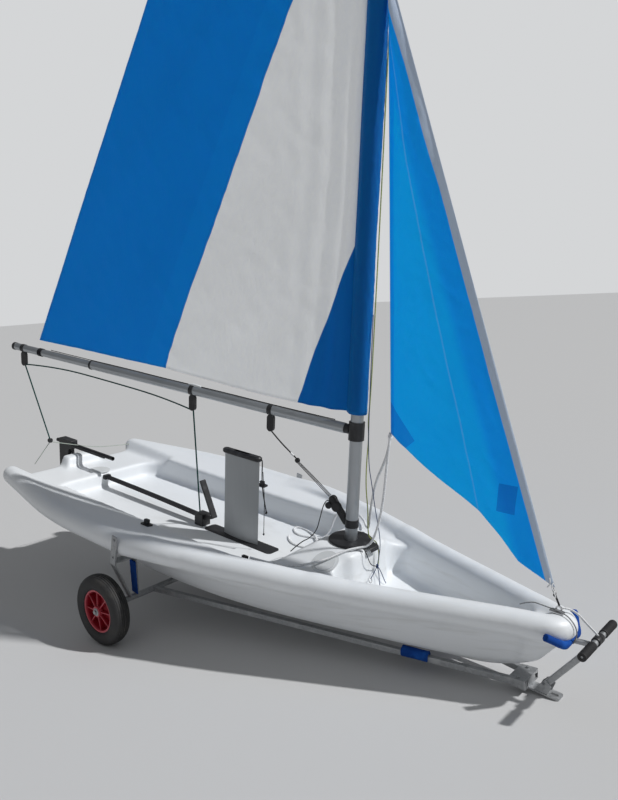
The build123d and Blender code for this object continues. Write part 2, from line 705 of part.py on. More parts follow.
with BuildPart() as boom_sleeve:
    with BuildSketch(boom_plane(BOOM_JOINT - BOOM_OVERLAP)):
        Circle(BOOM_R_FWD - MAST_WALL)
        Circle(BOOM_R_AFT, mode=Mode.SUBTRACT)
    extrude(amount=BOOM_OVERLAP)
    with BuildSketch(boom_plane(BOOM_JOINT)):
        Circle(BOOM_R_FWD + BOOM_LIP)
        Circle(BOOM_R_AFT, mode=Mode.SUBTRACT)
    extrude(amount=COLLAR_HEIGHT)
finish(boom_sleeve, "boom_joint_sleeve")

with BuildPart() as boom_cap:
    with BuildSketch(boom_plane(BOOM_LENGTH - BOOM_CAP)):
        Circle(BOOM_R_AFT + BOOM_LIP)
    extrude(amount=BOOM_CAP)
    chamfer(boom_cap.edges().filter_by(GeomType.CIRCLE), length=BOOM_CAP_CHAMFER)
finish(boom_cap, "boom_end_cap")

# Bands on the boom, each with a block for the mainsheet or the hook of the vang
for name, along in (
    ("boom_block_aft", AFT_BLOCK_AT),
    ("boom_block_middle", MID_BLOCK_AT),
    ("boom_vang_hook", VANG_AT),
):
    boom_r = BOOM_R_AFT if along > BOOM_JOINT else BOOM_R_FWD
    with BuildPart() as block:
        with BuildSketch(boom_plane(along)):
            Circle(boom_r + BLOCK_WALL)
            Circle(boom_r, mode=Mode.SUBTRACT)
        extrude(amount=BLOCK_BAND)
        under = rig_plane(
            along * rise_cos + BLOCK_BAND / 2,
            BOOM_Z + along * rise_sin - boom_r - BLOCK_LENGTH / 2 + BLOCK_WALL,
            x_dir=(1, 0, 0),
            z_dir=(0, 0, 1),
        )
        with BuildSketch(under):
            SlotOverall(BLOCK_LENGTH, BLOCK_WIDTH, rotation=90)
        extrude(amount=BLOCK_HALF_THICKNESS, both=True)
        with BuildSketch(boom_plane(along - BLOCK_LENGTH / 2)):
            Circle(boom_r)
        extrude(amount=2 * BLOCK_LENGTH, mode=Mode.SUBTRACT)
    finish(block, name)

# Vang tackle: a clamp round the foot of the mast and the blocks that lean aft from it
with BuildPart() as vang:
    with BuildSketch(mast_plane(VANG_FOOT_Z)):
        Circle(MAST_R + VANG_WALL)
        Circle(MAST_R, mode=Mode.SUBTRACT)
    extrude(amount=VANG_CLAMP_HEIGHT)
    with BuildSketch(RIG):
        with BuildLine():
            Polyline(
                (MAST_R, VANG_FOOT_Z + VANG_CLAMP_HEIGHT / 2),
                (MAST_R + VANG_REACH, VANG_FOOT_Z + VANG_CLAMP_HEIGHT / 2 + VANG_RISE),
            )
            offset(amount=VANG_BLOCK_HALF)
        make_face()
        with Locations((0, VANG_FOOT_Z)):
            Rectangle(2 * (MAST_R + VANG_WALL / 2), 2 * VANG_RISE, mode=Mode.SUBTRACT)
    extrude(amount=VANG_BLOCK_HALF, both=True)
finish(vang, "vang_tackle")

# Mainsail: a flat panel behind the sleeve that holds the mast
with BuildPart() as mainsail:
    with BuildSketch(RIG):
        with BuildLine():
            Line((SLEEVE_CHORD + GAP, MAIN_TACK_Z + MAIN_FOOT_LIFT), (SLEEVE_CHORD + GAP, MAIN_HEAD_Z))
            Line((SLEEVE_CHORD + GAP, MAIN_HEAD_Z), (MAIN_HEAD_S, MAIN_HEAD_Z))
            Line((MAIN_HEAD_S, MAIN_HEAD_Z), (MAIN_CLEW_S, MAIN_CLEW_Z))
            ThreePointArc(
                (MAIN_CLEW_S, MAIN_CLEW_Z),
                (MAIN_CLEW_S / 2, (MAIN_CLEW_Z + MAIN_TACK_Z) / 2 - MAIN_FOOT_ROUND),
                (SLEEVE_CHORD + GAP, MAIN_TACK_Z + MAIN_FOOT_LIFT),
            )
        make_face()
    extrude(amount=SAIL_THICKNESS / 2, both=True)
finish(mainsail, "mainsail")

with BuildPart() as luff_sleeve:
    with BuildSketch(mast_plane(MAIN_TACK_Z)):
        Circle(SLEEVE_R)
        Polygon(
            (0, SLEEVE_R - SLEEVE_SEAM),
            (SLEEVE_CHORD, SAIL_THICKNESS / 2),
            (SLEEVE_CHORD, -SAIL_THICKNESS / 2),
            (0, -SLEEVE_R + SLEEVE_SEAM),
            align=None,
        )
        Circle(MAST_R + GAP, mode=Mode.SUBTRACT)
    extrude(amount=MAIN_HEAD_Z - MAIN_TACK_Z)
finish(luff_sleeve, "mainsail_luff_sleeve")

with BuildPart() as clew_strap:
    with BuildSketch(boom_plane(MAIN_CLEW_S + CLEW_STRAP_AT)):
        Circle(BOOM_R_AFT + CLEW_STRAP_WALL)
        Circle(BOOM_R_AFT, mode=Mode.SUBTRACT)
    extrude(amount=CLEW_STRAP_WIDTH)
finish(clew_strap, "clew_strap")

# Jib on its stay
with BuildPart() as jib:
    with BuildSketch(profile_plane(0)):
        with BuildLine():
            Line(JIB_TACK, JIB_HEAD)
            ThreePointArc(JIB_HEAD, JIB_LEECH, JIB_CLEW)
            ThreePointArc(JIB_CLEW, JIB_FOOT, JIB_TACK)
        make_face()
    extrude(amount=SAIL_THICKNESS / 2, both=True)
finish(jib, "jib")

with BuildPart() as jib_tack_strop:
    eye = Vector(BOW_EYE[0], 0, BOW_EYE[1] + BOW_EYE_R + STAY_END_GAP)
    tack = Vector(JIB_TACK[0], 0, JIB_TACK[1] - GAP)
    with BuildSketch(boat_plane(eye, x_dir=(0, 1, 0), z_dir=tack - eye)):
        Circle(STAY_R)
    extrude(amount=(tack - eye).length)
finish(jib_tack_strop, "jib_tack_strop")

with BuildPart() as bow_fitting:
    with BuildSketch(deck_plane(BOW_PLATE_X, 0, GUNWALE_Z + BOW_RISE + GUNWALE_R)):
        RectangleRounded(BOW_PLATE_LENGTH, BOW_PLATE_WIDTH, BOW_PLATE_CORNER_R)
    extrude(amount=BOW_PLATE_THICKNESS)
    with BuildSketch(profile_plane(0)):
        with Locations(BOW_EYE):
            Circle(BOW_EYE_R)
            Circle(BOW_EYE_HOLE_R, mode=Mode.SUBTRACT)
    extrude(amount=BOW_EYE_THICKNESS / 2, both=True)
finish(bow_fitting, "bow_fitting")

# Rudder fittings, stock and tiller
for name, rise in GUDGEON_HEIGHTS.items():
    with BuildPart() as gudgeon:
        with BuildSketch(deck_plane(0, 0, STOCK_Z + rise)):
            with Locations((PINTLE_X / 2, 0)):
                Rectangle(-PINTLE_X, GUDGEON_WIDTH)
            with Locations((PINTLE_X, 0)):
                Circle(GUDGEON_WIDTH / 2)
                Circle(PINTLE_R + PINTLE_GAP, mode=Mode.SUBTRACT)
        extrude(amount=GUDGEON_THICKNESS)
    finish(gudgeon, name)

# Stock: two cheeks joined at their front, with the slot and pivot hole that take a blade
with BuildPart() as rudder_stock:
    with BuildSketch(profile_plane(0)):
        with BuildLine():
            FilletPolyline(
                (STOCK_FWD, STOCK_Z - STOCK_DROP),
                (STOCK_FWD, STOCK_Z + STOCK_SHOULDER),
                (STOCK_FWD + STOCK_HEAD_REACH, STOCK_Z + STOCK_SHOULDER),
                (STOCK_FWD + STOCK_HEAD_REACH, STOCK_Z + STOCK_HEIGHT),
                (STOCK_FWD - STOCK_LENGTH, STOCK_Z + STOCK_HEIGHT),
                (STOCK_FWD - STOCK_LENGTH, STOCK_Z - STOCK_DROP),
                radius=STOCK_CORNER_R,
                close=True,
            )
        make_face()
    extrude(amount=STOCK_WIDTH / 2, both=True)
    with BuildSketch(profile_plane(0)):
        with Locations((STOCK_FWD - STOCK_LENGTH, STOCK_Z)):
            Rectangle(2 * (STOCK_LENGTH - 2 * BLADE_SLOT), STOCK_HEIGHT)
    extrude(amount=BLADE_SLOT / 2, both=True, mode=Mode.SUBTRACT)
    with BuildSketch(profile_plane(0)):
        with Locations((STOCK_FWD - STOCK_LENGTH / 2, STOCK_Z + BLADE_SLOT)):
            Circle(BLADE_PIVOT_R)
    extrude(amount=STOCK_WIDTH, both=True, mode=Mode.SUBTRACT)
    with BuildSketch(boat_plane((TILLER_AFT, 0, TILLER_Z), x_dir=(0, 1, 0), z_dir=(1, 0, 0))):
        Circle(TILLER_R)
    extrude(amount=TILLER_FWD - TILLER_AFT, mode=Mode.SUBTRACT)
    # Pintles, and the lug between the gudgeons that carries them
    with BuildSketch(deck_plane(PINTLE_X, 0, STOCK_Z - PINTLE_FOOT)):
        Circle(PINTLE_R)
    extrude(amount=PINTLE_LENGTH)
    with BuildSketch(deck_plane(PINTLE_X - LUG_AFT, 0, STOCK_Z + LUG_RISE)):
        Rectangle(LUG_LENGTH, LUG_WIDTH)
    extrude(amount=LUG_HEIGHT)
finish(rudder_stock, "rudder_stock")

with BuildPart() as tiller:
    with BuildSketch(boat_plane((TILLER_AFT, 0, TILLER_Z), x_dir=(0, 1, 0), z_dir=(1, 0, 0))):
        Circle(TILLER_R)
        Circle(TILLER_R - MAST_WALL, mode=Mode.SUBTRACT)
    extrude(amount=TILLER_FWD - TILLER_AFT)
finish(tiller, "tiller")

# Extension: a thin tube lashed along the starboard side of the tiller, on two pads
with BuildPart() as extension:
    side_y = -(TILLER_R + EXTENSION_R + EXTENSION_GAP)
    with BuildSketch(boat_plane((EXTENSION_AFT, side_y, TILLER_Z), x_dir=(0, 1, 0), z_dir=(1, 0, 0))):
        Circle(EXTENSION_R)
    extrude(amount=EXTENSION_FWD - EXTENSION_AFT)
    for clip_x in (EXTENSION_AFT + EXTENSION_CLIP, EXTENSION_FWD - 2 * EXTENSION_CLIP):
        clip_plane = boat_plane((clip_x, side_y, TILLER_Z), x_dir=(0, 1, 0), z_dir=(1, 0, 0))
        with BuildSketch(clip_plane):
            with Locations((EXTENSION_R, 0)):
                Rectangle(2 * EXTENSION_GAP + EXTENSION_R, EXTENSION_R)
            with Locations((-side_y, 0)):
                Circle(TILLER_R, mode=Mode.SUBTRACT)
        extrude(amount=EXTENSION_CLIP / 2)
finish(extension, "tiller_extension")

# Trolley: axle with stub ends for the wheels
with BuildPart() as axle:
    with BuildSketch(ground_plane(AXLE_X, 0, WHEEL_R, x_dir=(0, 0, 1), z_dir=(0, 1, 0))):
        Circle(AXLE_R)
    extrude(amount=WHEEL_Y - HUB_LENGTH / 2 - AXLE_SHOULDER_GAP, both=True)
    with BuildSketch(ground_plane(AXLE_X, 0, WHEEL_R, x_dir=(0, 0, 1), z_dir=(0, 1, 0))):
        Circle(STUB_R)
    extrude(amount=WHEEL_Y + HUB_LENGTH / 2 + STUB_BEYOND_HUB, both=True)
finish(axle, "trolley_axle")

rail_rise = RAIL_FWD_Z - WHEEL_R
for side in (-1, 1):
    start = Vector(AXLE_X, side * RAIL_AFT_Y, WHEEL_R)
    end = Vector(RAIL_FWD_X, side * RAIL_FWD_Y, RAIL_FWD_Z)
    run = end - start
    with BuildPart() as rail:
        with BuildSketch(ground_plane(start.X, start.Y, start.Z, x_dir=(0, 0, 1), z_dir=run)):
            RectangleRounded(RAIL_WIDTH, RAIL_WIDTH, RAIL_CORNER_R)
            Rectangle(RAIL_WIDTH - 2 * RAIL_WALL, RAIL_WIDTH - 2 * RAIL_WALL, mode=Mode.SUBTRACT)
        extrude(amount=run.length)
        with BuildSketch(ground_plane(AXLE_X, 0, WHEEL_R, x_dir=(0, 0, 1), z_dir=(0, 1, 0))):
            Circle(AXLE_R)
        extrude(amount=WHEEL_Y, both=True, mode=Mode.SUBTRACT)
    finish(rail, f"trolley_rail_{side_name(side)}")

    middle = start + run * RAIL_PAD_AT
    with BuildPart() as pad:
        with BuildSketch(ground_plane(middle.X, middle.Y, middle.Z, x_dir=(0, 0, 1), z_dir=run)):
            Circle(RAIL_PAD_R)
            Rectangle(RAIL_WIDTH + 2 * GAP, RAIL_WIDTH + 2 * GAP, mode=Mode.SUBTRACT)
        extrude(amount=RAIL_PAD_LENGTH / 2, both=True)
    finish(pad, f"rail_pad_{side_name(side)}")

# Uprights that hold the gunwales
lean_sin = sin(radians(UPRIGHT_LEAN))
lean_cos = cos(radians(UPRIGHT_LEAN))
for side in (-1, 1):
    plane = ground_plane(
        AXLE_X, 0, WHEEL_R, x_dir=(0, side, 0), z_dir=(side * lean_cos, 0, -side * lean_sin)
    )
    with BuildPart() as upright:
        with BuildSketch(plane):
            with BuildLine():
                Polyline(
                    (UPRIGHT_FOOT_Y, AXLE_R),
                    (UPRIGHT_TOP_Y, UPRIGHT_BEND),
                    (UPRIGHT_TOP_Y, UPRIGHT_TOP),
                )
                offset(amount=UPRIGHT_THICKNESS / 2)
            make_face()
            with BuildLine():
                Polyline(
                    (UPRIGHT_TOP_Y, UPRIGHT_ARM),
                    (UPRIGHT_ARM_INNER_Y, UPRIGHT_ARM - UPRIGHT_ARM_FALL),
                    (UPRIGHT_ARM_FOOT_Y, AXLE_R),
                )
                offset(amount=UPRIGHT_THICKNESS / 2)
            make_face()
        extrude(amount=UPRIGHT_WIDTH / 2, both=True)
        with BuildSketch(ground_plane(AXLE_X, 0, WHEEL_R, x_dir=(0, 0, 1), z_dir=(0, 1, 0))):
            Circle(AXLE_R)
        extrude(amount=WHEEL_Y, both=True, mode=Mode.SUBTRACT)
    finish(upright, f"gunwale_upright_{side_name(side)}")

# Solid bars as thick as the rails, which cut what the rails pass through
with BuildPart() as rail_bars:
    for side in (-1, 1):
        start = Vector(AXLE_X, side * RAIL_AFT_Y, WHEEL_R)
        run = Vector(RAIL_FWD_X, side * RAIL_FWD_Y, RAIL_FWD_Z) - start
        with BuildSketch(ground_plane(start.X, start.Y, start.Z, x_dir=(0, 0, 1), z_dir=run)):
            Rectangle(RAIL_WIDTH, RAIL_WIDTH)
        extrude(amount=run.length)

# Foot plate that rests on the ground, with a cheek on each side of the handle post's foot
rise_foot_sin = sin(radians(FOOT_RISE))
rise_foot_cos = cos(radians(FOOT_RISE))
foot_length = (FOOT_TIP_X - FOOT_AFT_X) / rise_foot_cos
foot_surface = ground_plane(
    FOOT_TIP_X, 0, 0, x_dir=(-rise_foot_cos, 0, rise_foot_sin), z_dir=(rise_foot_sin, 0, rise_foot_cos)
)
with BuildPart() as foot_plate:
    with BuildSketch(foot_surface):
        with Locations((foot_length / 2, 0)):
            RectangleRounded(foot_length, FOOT_WIDTH, FOOT_CORNER_R)
        with Locations((FOOT_SLOT_AT, 0)):
            SlotOverall(FOOT_SLOT_LENGTH, FOOT_SLOT_WIDTH, mode=Mode.SUBTRACT)
    extrude(amount=FOOT_THICKNESS)
    for side in (-1, 1):
        cheek_y = side * (POST_WIDTH + CHEEK_THICKNESS) / 2
        cheek_foot_z = (FOOT_TIP_X - POST_FOOT_X) * rise_foot_sin
        with BuildSketch(ground_plane(POST_FOOT_X, cheek_y, cheek_foot_z, z_dir=(0, -1, 0))):
            Polygon(*CHEEK_OUTLINE, align=None)
        extrude(amount=CHEEK_THICKNESS / 2, both=True)
    add(rail_bars.part, mode=Mode.SUBTRACT)
finish(foot_plate, "trolley_foot_plate")

# Space that the foot plate takes up, and all below it
with BuildPart() as below_plate:
    with BuildSketch(foot_surface.offset(FOOT_THICKNESS)):
        Rectangle(3 * foot_length, 3 * FOOT_WIDTH)
    extrude(amount=-3 * FOOT_THICKNESS)

# Nose: a block clamped over the ends of both rails, on the foot plate
with BuildPart() as nose:
    with BuildSketch(ground_plane(NOSE_X, 0, RAIL_FWD_Z)):
        RectangleRounded(NOSE_LENGTH, NOSE_WIDTH, NOSE_CORNER_R)
    extrude(amount=NOSE_HEIGHT / 2, both=True)
    add(rail_bars.part, mode=Mode.SUBTRACT)
    add(below_plate.part, mode=Mode.SUBTRACT)
finish(nose, "trolley_nose")

post_foot = Vector(POST_FOOT_X, 0, POST_FOOT_Z)
post_run = Vector(POST_TOP_X, 0, POST_TOP_Z) - post_foot
with BuildPart() as post:
    with BuildSketch(ground_plane(*post_foot, x_dir=(0, 1, 0), z_dir=post_run)):
        RectangleRounded(POST_WIDTH, POST_THICKNESS, POST_CORNER_R)
        Rectangle(POST_WIDTH - 2 * RAIL_WALL, POST_THICKNESS - 2 * RAIL_WALL, mode=Mode.SUBTRACT)
    extrude(amount=post_run.length)
    add(below_plate.part, mode=Mode.SUBTRACT)
    with BuildSketch(ground_plane(POST_TOP_X, 0, POST_TOP_Z + TBAR_R, x_dir=(0, 0, 1), z_dir=(0, 1, 0))):
        Circle(TBAR_R)
    extrude(amount=TBAR_HALF, both=True, mode=Mode.SUBTRACT)
finish(post, "handle_post")

with BuildPart() as tbar:
    with BuildSketch(ground_plane(POST_TOP_X, 0, POST_TOP_Z + TBAR_R, x_dir=(0, 0, 1), z_dir=(0, 1, 0))):
        Circle(TBAR_R)
    extrude(amount=TBAR_HALF, both=True)
finish(tbar, "handle_bar")

for side in (-1, 1):
    with BuildPart() as grip:
        for end_y, radius, mode in (
            (TBAR_HALF + GRIP_END_WALL, GRIP_R, Mode.ADD),
            (TBAR_HALF, TBAR_R, Mode.SUBTRACT),
        ):
            end_at = (POST_TOP_X, side * end_y, POST_TOP_Z + TBAR_R)
            with BuildSketch(ground_plane(*end_at, x_dir=(0, 0, 1), z_dir=(0, -side, 0))):
                Circle(radius)
            extrude(amount=GRIP_LENGTH, mode=mode)
    finish(grip, f"handle_grip_{side_name(side)}")

with BuildPart() as snubber:
    end_x, end_y, end_z = SNUBBER_END
    with BuildLine(ground_plane(0, 0, 0)) as snubber_path:
        FilletPolyline(
            (end_x, -end_y, end_z),
            (SNUBBER_X, -SNUBBER_HALF, SNUBBER_Z),
            (SNUBBER_X, SNUBBER_HALF, SNUBBER_Z),
            (end_x, end_y, end_z),
            radius=SNUBBER_BEND_R,
        )
    with BuildSketch(Plane(snubber_path.line ^ 0)):
        Circle(SNUBBER_R)
    sweep(path=snubber_path.line)
finish(snubber, "bow_snubber")

with BuildPart() as snubber_strut:
    strut_x = SNUBBER_X + SNUBBER_R + GAP
    with BuildSketch(ground_plane(strut_x, 0, SNUBBER_Z, x_dir=(0, 1, 0), z_dir=(1, 0, 0))):
        RectangleRounded(STRUT_WIDTH, STRUT_HEIGHT, STRUT_CORNER_R)
    extrude(amount=STRUT_LENGTH)
    with BuildSketch(ground_plane(*post_foot, x_dir=(0, 1, 0), z_dir=post_run)):
        Rectangle(POST_WIDTH, POST_THICKNESS)
    extrude(amount=2 * post_run.length, mode=Mode.SUBTRACT)
finish(snubber_strut, "snubber_strut")

# Wheels: tyre on a moulded rim with thin ribs on its outer face, turning on the axle's stub
for side in (-1, 1):
    centre = ground_plane(AXLE_X, side * WHEEL_Y, WHEEL_R, x_dir=(1, 0, 0), z_dir=(0, side, 0))
    # Local y runs outwards here, so both wheels show their ribs
    section = ground_plane(AXLE_X, side * WHEEL_Y, WHEEL_R, x_dir=(1, 0, 0), z_dir=(0, 0, side))
    turning_axis = Axis((AXLE_X - ORIGIN_X, side * WHEEL_Y, WHEEL_R), (0, 1, 0))
    with BuildPart() as tyre:
        with BuildSketch(section):
            Polygon(
                (RIM_R, -RIM_WIDTH / 2),
                (RIM_R + TYRE_BEAD, -TYRE_WIDTH / 2),
                (WHEEL_R - TYRE_SHOULDER, -TYRE_WIDTH / 2),
                (WHEEL_R - TYRE_CROWN, -TREAD_HALF),
                (WHEEL_R, -CROWN_HALF),
                (WHEEL_R, CROWN_HALF),
                (WHEEL_R - TYRE_CROWN, TREAD_HALF),
                (WHEEL_R - TYRE_SHOULDER, TYRE_WIDTH / 2),
                (RIM_R + TYRE_BEAD, TYRE_WIDTH / 2),
                (RIM_R, RIM_WIDTH / 2),
                align=None,
            )
        revolve(axis=turning_axis)
    finish(tyre, f"tyre_{side_name(side)}")
    with BuildPart() as rim:
        with BuildSketch(section):
            Polygon(
                (RIM_R, -RIM_WIDTH / 2),
                (RIM_R, RIM_WIDTH / 2),
                (RIM_R - RIM_FLANGE, RIM_WIDTH / 2),
                (RIM_R - RIM_FLANGE - RIM_WELL, WEB_OUT + WEB_THICKNESS),
                (HUB_R, WEB_OUT + WEB_THICKNESS + WEB_DISH),
                (HUB_R, WEB_OUT + WEB_DISH),
                (RIM_R - RIM_FLANGE, WEB_OUT),
                (RIM_R - RIM_FLANGE, -RIM_WIDTH / 2),
                align=None,
            )
        revolve(axis=turning_axis)
        with BuildSketch(centre):
            Circle(HUB_R)
        extrude(amount=HUB_LENGTH / 2, both=True)
        # Ribs stand from the web to the hub's height, tapering towards the flange
        for turn in range(RIBS):
            rib_plane = Plane(turning_axis.location.position, x_dir=(1, 0, 0), z_dir=(0, 0, side))
            rib_plane = rib_plane.rotated((0, 360 / RIBS * turn, 0))
            with BuildSketch(rib_plane):
                Polygon(
                    (HUB_R - RIB_BITE, WEB_OUT),
                    (HUB_R - RIB_BITE, HUB_LENGTH / 2 - RIB_DROP),
                    (RIM_R - RIM_FLANGE + RIB_BITE, RIM_WIDTH / 2 - RIB_DROP),
                    (RIM_R - RIM_FLANGE + RIB_BITE, WEB_OUT),
                    align=None,
                )
            extrude(amount=RIB_THICKNESS / 2, both=True)
        with BuildSketch(centre):
            Circle(STUB_R + STUB_GAP)
        extrude(amount=HUB_LENGTH, both=True, mode=Mode.SUBTRACT)
    finish(rim, f"rim_{side_name(side)}")
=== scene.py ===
import json
import math

import bmesh
import bpy
from mathutils import Matrix, Vector, noise

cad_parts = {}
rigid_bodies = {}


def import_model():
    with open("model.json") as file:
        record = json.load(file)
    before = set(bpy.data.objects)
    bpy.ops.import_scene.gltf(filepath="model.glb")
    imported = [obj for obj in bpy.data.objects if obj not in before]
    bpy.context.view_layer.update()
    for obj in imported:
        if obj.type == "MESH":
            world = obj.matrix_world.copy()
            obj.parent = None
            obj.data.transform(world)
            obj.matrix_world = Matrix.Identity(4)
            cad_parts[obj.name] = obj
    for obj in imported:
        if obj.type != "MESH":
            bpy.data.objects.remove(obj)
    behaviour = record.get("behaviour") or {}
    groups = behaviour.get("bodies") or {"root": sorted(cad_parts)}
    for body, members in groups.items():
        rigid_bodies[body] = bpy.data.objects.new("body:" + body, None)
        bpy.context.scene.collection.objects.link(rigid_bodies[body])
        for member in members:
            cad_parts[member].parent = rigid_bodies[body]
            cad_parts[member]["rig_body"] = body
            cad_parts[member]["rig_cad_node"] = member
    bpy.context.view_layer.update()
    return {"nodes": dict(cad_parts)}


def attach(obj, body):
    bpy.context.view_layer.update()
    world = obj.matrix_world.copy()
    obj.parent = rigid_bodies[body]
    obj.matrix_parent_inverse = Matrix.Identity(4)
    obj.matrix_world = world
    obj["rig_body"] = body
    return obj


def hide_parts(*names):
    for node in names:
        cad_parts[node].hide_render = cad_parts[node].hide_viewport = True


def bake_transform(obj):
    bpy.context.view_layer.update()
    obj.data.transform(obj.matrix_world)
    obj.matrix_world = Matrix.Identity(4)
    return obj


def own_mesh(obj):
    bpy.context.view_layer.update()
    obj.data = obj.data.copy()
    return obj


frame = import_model()

# Camera: it stands off the starboard bow at head height, turned a little about its own axis,
# as the photograph was taken. Floor and sky are one pale grey. The main light stands high ahead
# of the bow, a little to port, as in the photograph, with a weak one behind the camera.
ORIGIN_X = 1.729
CAMERA_AT = Vector((4.648 - ORIGIN_X, -2.923, 1.761))
CAMERA_YAW, CAMERA_PITCH, CAMERA_ROLL = (math.radians(a) for a in (40.280, 8.275, -3.308))
FILM_MM, FOCAL_PIXELS, PICTURE_PIXELS = 36, 769.55, 800
LENS_MM = FILM_MM * FOCAL_PIXELS / PICTURE_PIXELS
ahead = Vector((
    -math.sin(CAMERA_YAW) * math.cos(CAMERA_PITCH),
    math.cos(CAMERA_YAW) * math.cos(CAMERA_PITCH),
    -math.sin(CAMERA_PITCH),
))
level_right = Vector((math.cos(CAMERA_YAW), math.sin(CAMERA_YAW), 0))
level_up = level_right.cross(ahead)
right = level_right * math.cos(CAMERA_ROLL) + level_up * math.sin(CAMERA_ROLL)
up = level_up * math.cos(CAMERA_ROLL) - level_right * math.sin(CAMERA_ROLL)
bpy.ops.object.camera_add(location=CAMERA_AT)
camera = bpy.context.object
turned = Matrix((right, up, -ahead)).transposed().to_4x4()
camera.matrix_world = Matrix.Translation(CAMERA_AT) @ turned
camera.data.lens = LENS_MM
bpy.context.scene.camera = camera
bpy.context.scene.view_settings.view_transform = "Standard"


class Value:
    """A socket of a material, with Python's operators as Math nodes."""

    def __init__(self, look, socket):
        self.look = look
        self.socket = socket

    def math(self, operation, *others):
        return self.look.node("Math", {"operation": operation}, [self, *others])

    def __add__(self, other):
        return self.math("ADD", other)

    def __sub__(self, other):
        return self.math("SUBTRACT", other)

    def __rsub__(self, other):
        return self.look.node("Math", {"operation": "SUBTRACT"}, [other, self])

    def __mul__(self, other):
        return self.math("MULTIPLY", other)

    def __truediv__(self, other):
        return self.math("DIVIDE", other)

    def __abs__(self):
        return self.math("ABSOLUTE")

    __radd__ = __add__
    __rmul__ = __mul__

    def part(self, axis):
        return self.look.node("SeparateXYZ", {}, [self], axis)

    def stretched(self, scale, turn=(0, 0, 0)):
        return self.look.node("Mapping", {}, {"Vector": self, "Scale": scale, "Rotation": turn})

    def noise(self, scale, detail=3.0, roughness=0.5):
        sizes = {"Vector": self, "Scale": scale, "Detail": detail, "Roughness": roughness}
        return self.look.node("TexNoise", {}, sizes)

    def ramp(self, low, high):
        """0 below low and 1 above high, smooth between."""
        steps = {"Value": self, "From Min": low, "From Max": high}
        return self.look.node("MapRange", {"interpolation_type": "SMOOTHSTEP"}, steps)


class Look:
    """A material, built node by node on its Principled shader."""

    def __init__(self, name, color, roughness=0.5, metallic=0.0, **fixed):
        self.material = bpy.data.materials.new(name)
        self.material.use_nodes = True
        self.tree = self.material.node_tree
        self.shader = self.tree.nodes["Principled BSDF"]
        self.put("Base Color", color)
        self.put("Roughness", roughness)
        self.put("Metallic", metallic)
        for socket, value in fixed.items():
            self.put(socket.replace("_", " "), value)

    def feed(self, socket, value):
        if isinstance(value, Value):
            self.tree.links.new(value.socket, socket)
        elif isinstance(value, tuple) and len(value) == 3 and len(socket.default_value) == 4:
            socket.default_value = (*value, 1)
        else:
            socket.default_value = value

    def put(self, socket, value):
        self.feed(self.shader.inputs[socket], value)

    def node(self, kind, settings, values, out=0):
        made = self.tree.nodes.new("ShaderNode" + kind)
        for setting, value in settings.items():
            setattr(made, setting, value)
        for key, value in values.items() if isinstance(values, dict) else enumerate(values):
            self.feed(made.inputs[key], value)
        return Value(self, made.outputs[out])

    def place(self):
        return self.node("TexCoord", {}, {}, "Object")

    def uv(self):
        return self.node("TexCoord", {}, {}, "UV")

    def mix(self, share, first, second):
        return self.node("Mix", {"data_type": "RGBA"}, {0: share, 6: first, 7: second}, 2)

    def paint(self, share, first, second):
        self.put("Base Color", self.mix(share, first, second))

    def bump(self, height, distance, strength=1.0):
        sizes = {"Height": height, "Distance": distance, "Strength": strength}
        self.put("Normal", self.node("Bump", {}, sizes))


PALE = 0.58
bpy.ops.mesh.primitive_plane_add(size=120)
floor = bpy.context.object
floor.name = "floor"
floor_look = Look("floor_paint", (PALE, PALE, PALE), 0.9)
floor.data.materials.append(floor_look.material)

world = bpy.data.worlds.new("studio")
bpy.context.scene.world = world
world.use_nodes = True
sky = world.node_tree
seen = sky.nodes.new("ShaderNodeLightPath")
backdrop = sky.nodes.new("ShaderNodeBackground")
backdrop.inputs["Color"].default_value = (0.66, 0.67, 0.68, 1)
ambient = sky.nodes["Background"]
ambient.inputs["Color"].default_value = (0.93, 0.96, 1.0, 1)
ambient.inputs["Strength"].default_value = 0.21
choose = sky.nodes.new("ShaderNodeMixShader")
sky.links.new(seen.outputs["Is Camera Ray"], choose.inputs[0])
sky.links.new(ambient.outputs[0], choose.inputs[1])
sky.links.new(backdrop.outputs[0], choose.inputs[2])
sky.links.new(choose.outputs[0], sky.nodes["World Output"].inputs[0])

for lamp_name, strength, spread, towards in (
    ("sun_high_bow", 2.85, 2, (-0.624, -0.305, -0.719)),
    ("sun_fill_starboard", 0.14, 60, (-0.45, 0.85, -0.75)),
):
    bpy.ops.object.light_add(type="SUN")
    lamp = bpy.context.object
    lamp.name = lamp_name
    lamp.data.energy = strength
    lamp.data.angle = math.radians(spread)
    lamp.rotation_euler = Vector(towards).to_track_quat("-Z", "Y").to_euler()

# Hull: one rotomoulded shell of bluish white plastic. A copy of the frame's hull gets a fuller
# stem, is remeshed and relaxed until every edge is well rounded, and its gunwale's roll is drawn
# into place. The skin has a fine orange peel, a little grime low down and faint scuffs.
BOAT_PITCH = math.radians(7.0)
BOAT_HEIGHT = 0.326
boat_matrix = (
    Matrix.Translation((-ORIGIN_X, 0, BOAT_HEIGHT)) @ Matrix.Rotation(BOAT_PITCH, 4, "Y")
)


def boat(x, y, z):
    """A place on the boat, from the transom and its baseline, in the frame's coordinates."""
    return boat_matrix @ Vector((x, y, z))


def choose_only(*pieces):
    bpy.ops.object.select_all(action="DESELECT")
    for piece in pieces:
        piece.select_set(True)
    bpy.context.view_layer.objects.active = pieces[-1]


def apply_all(piece):
    choose_only(piece)
    for modifier in list(piece.modifiers):
        bpy.ops.object.modifier_apply(modifier=modifier.name)


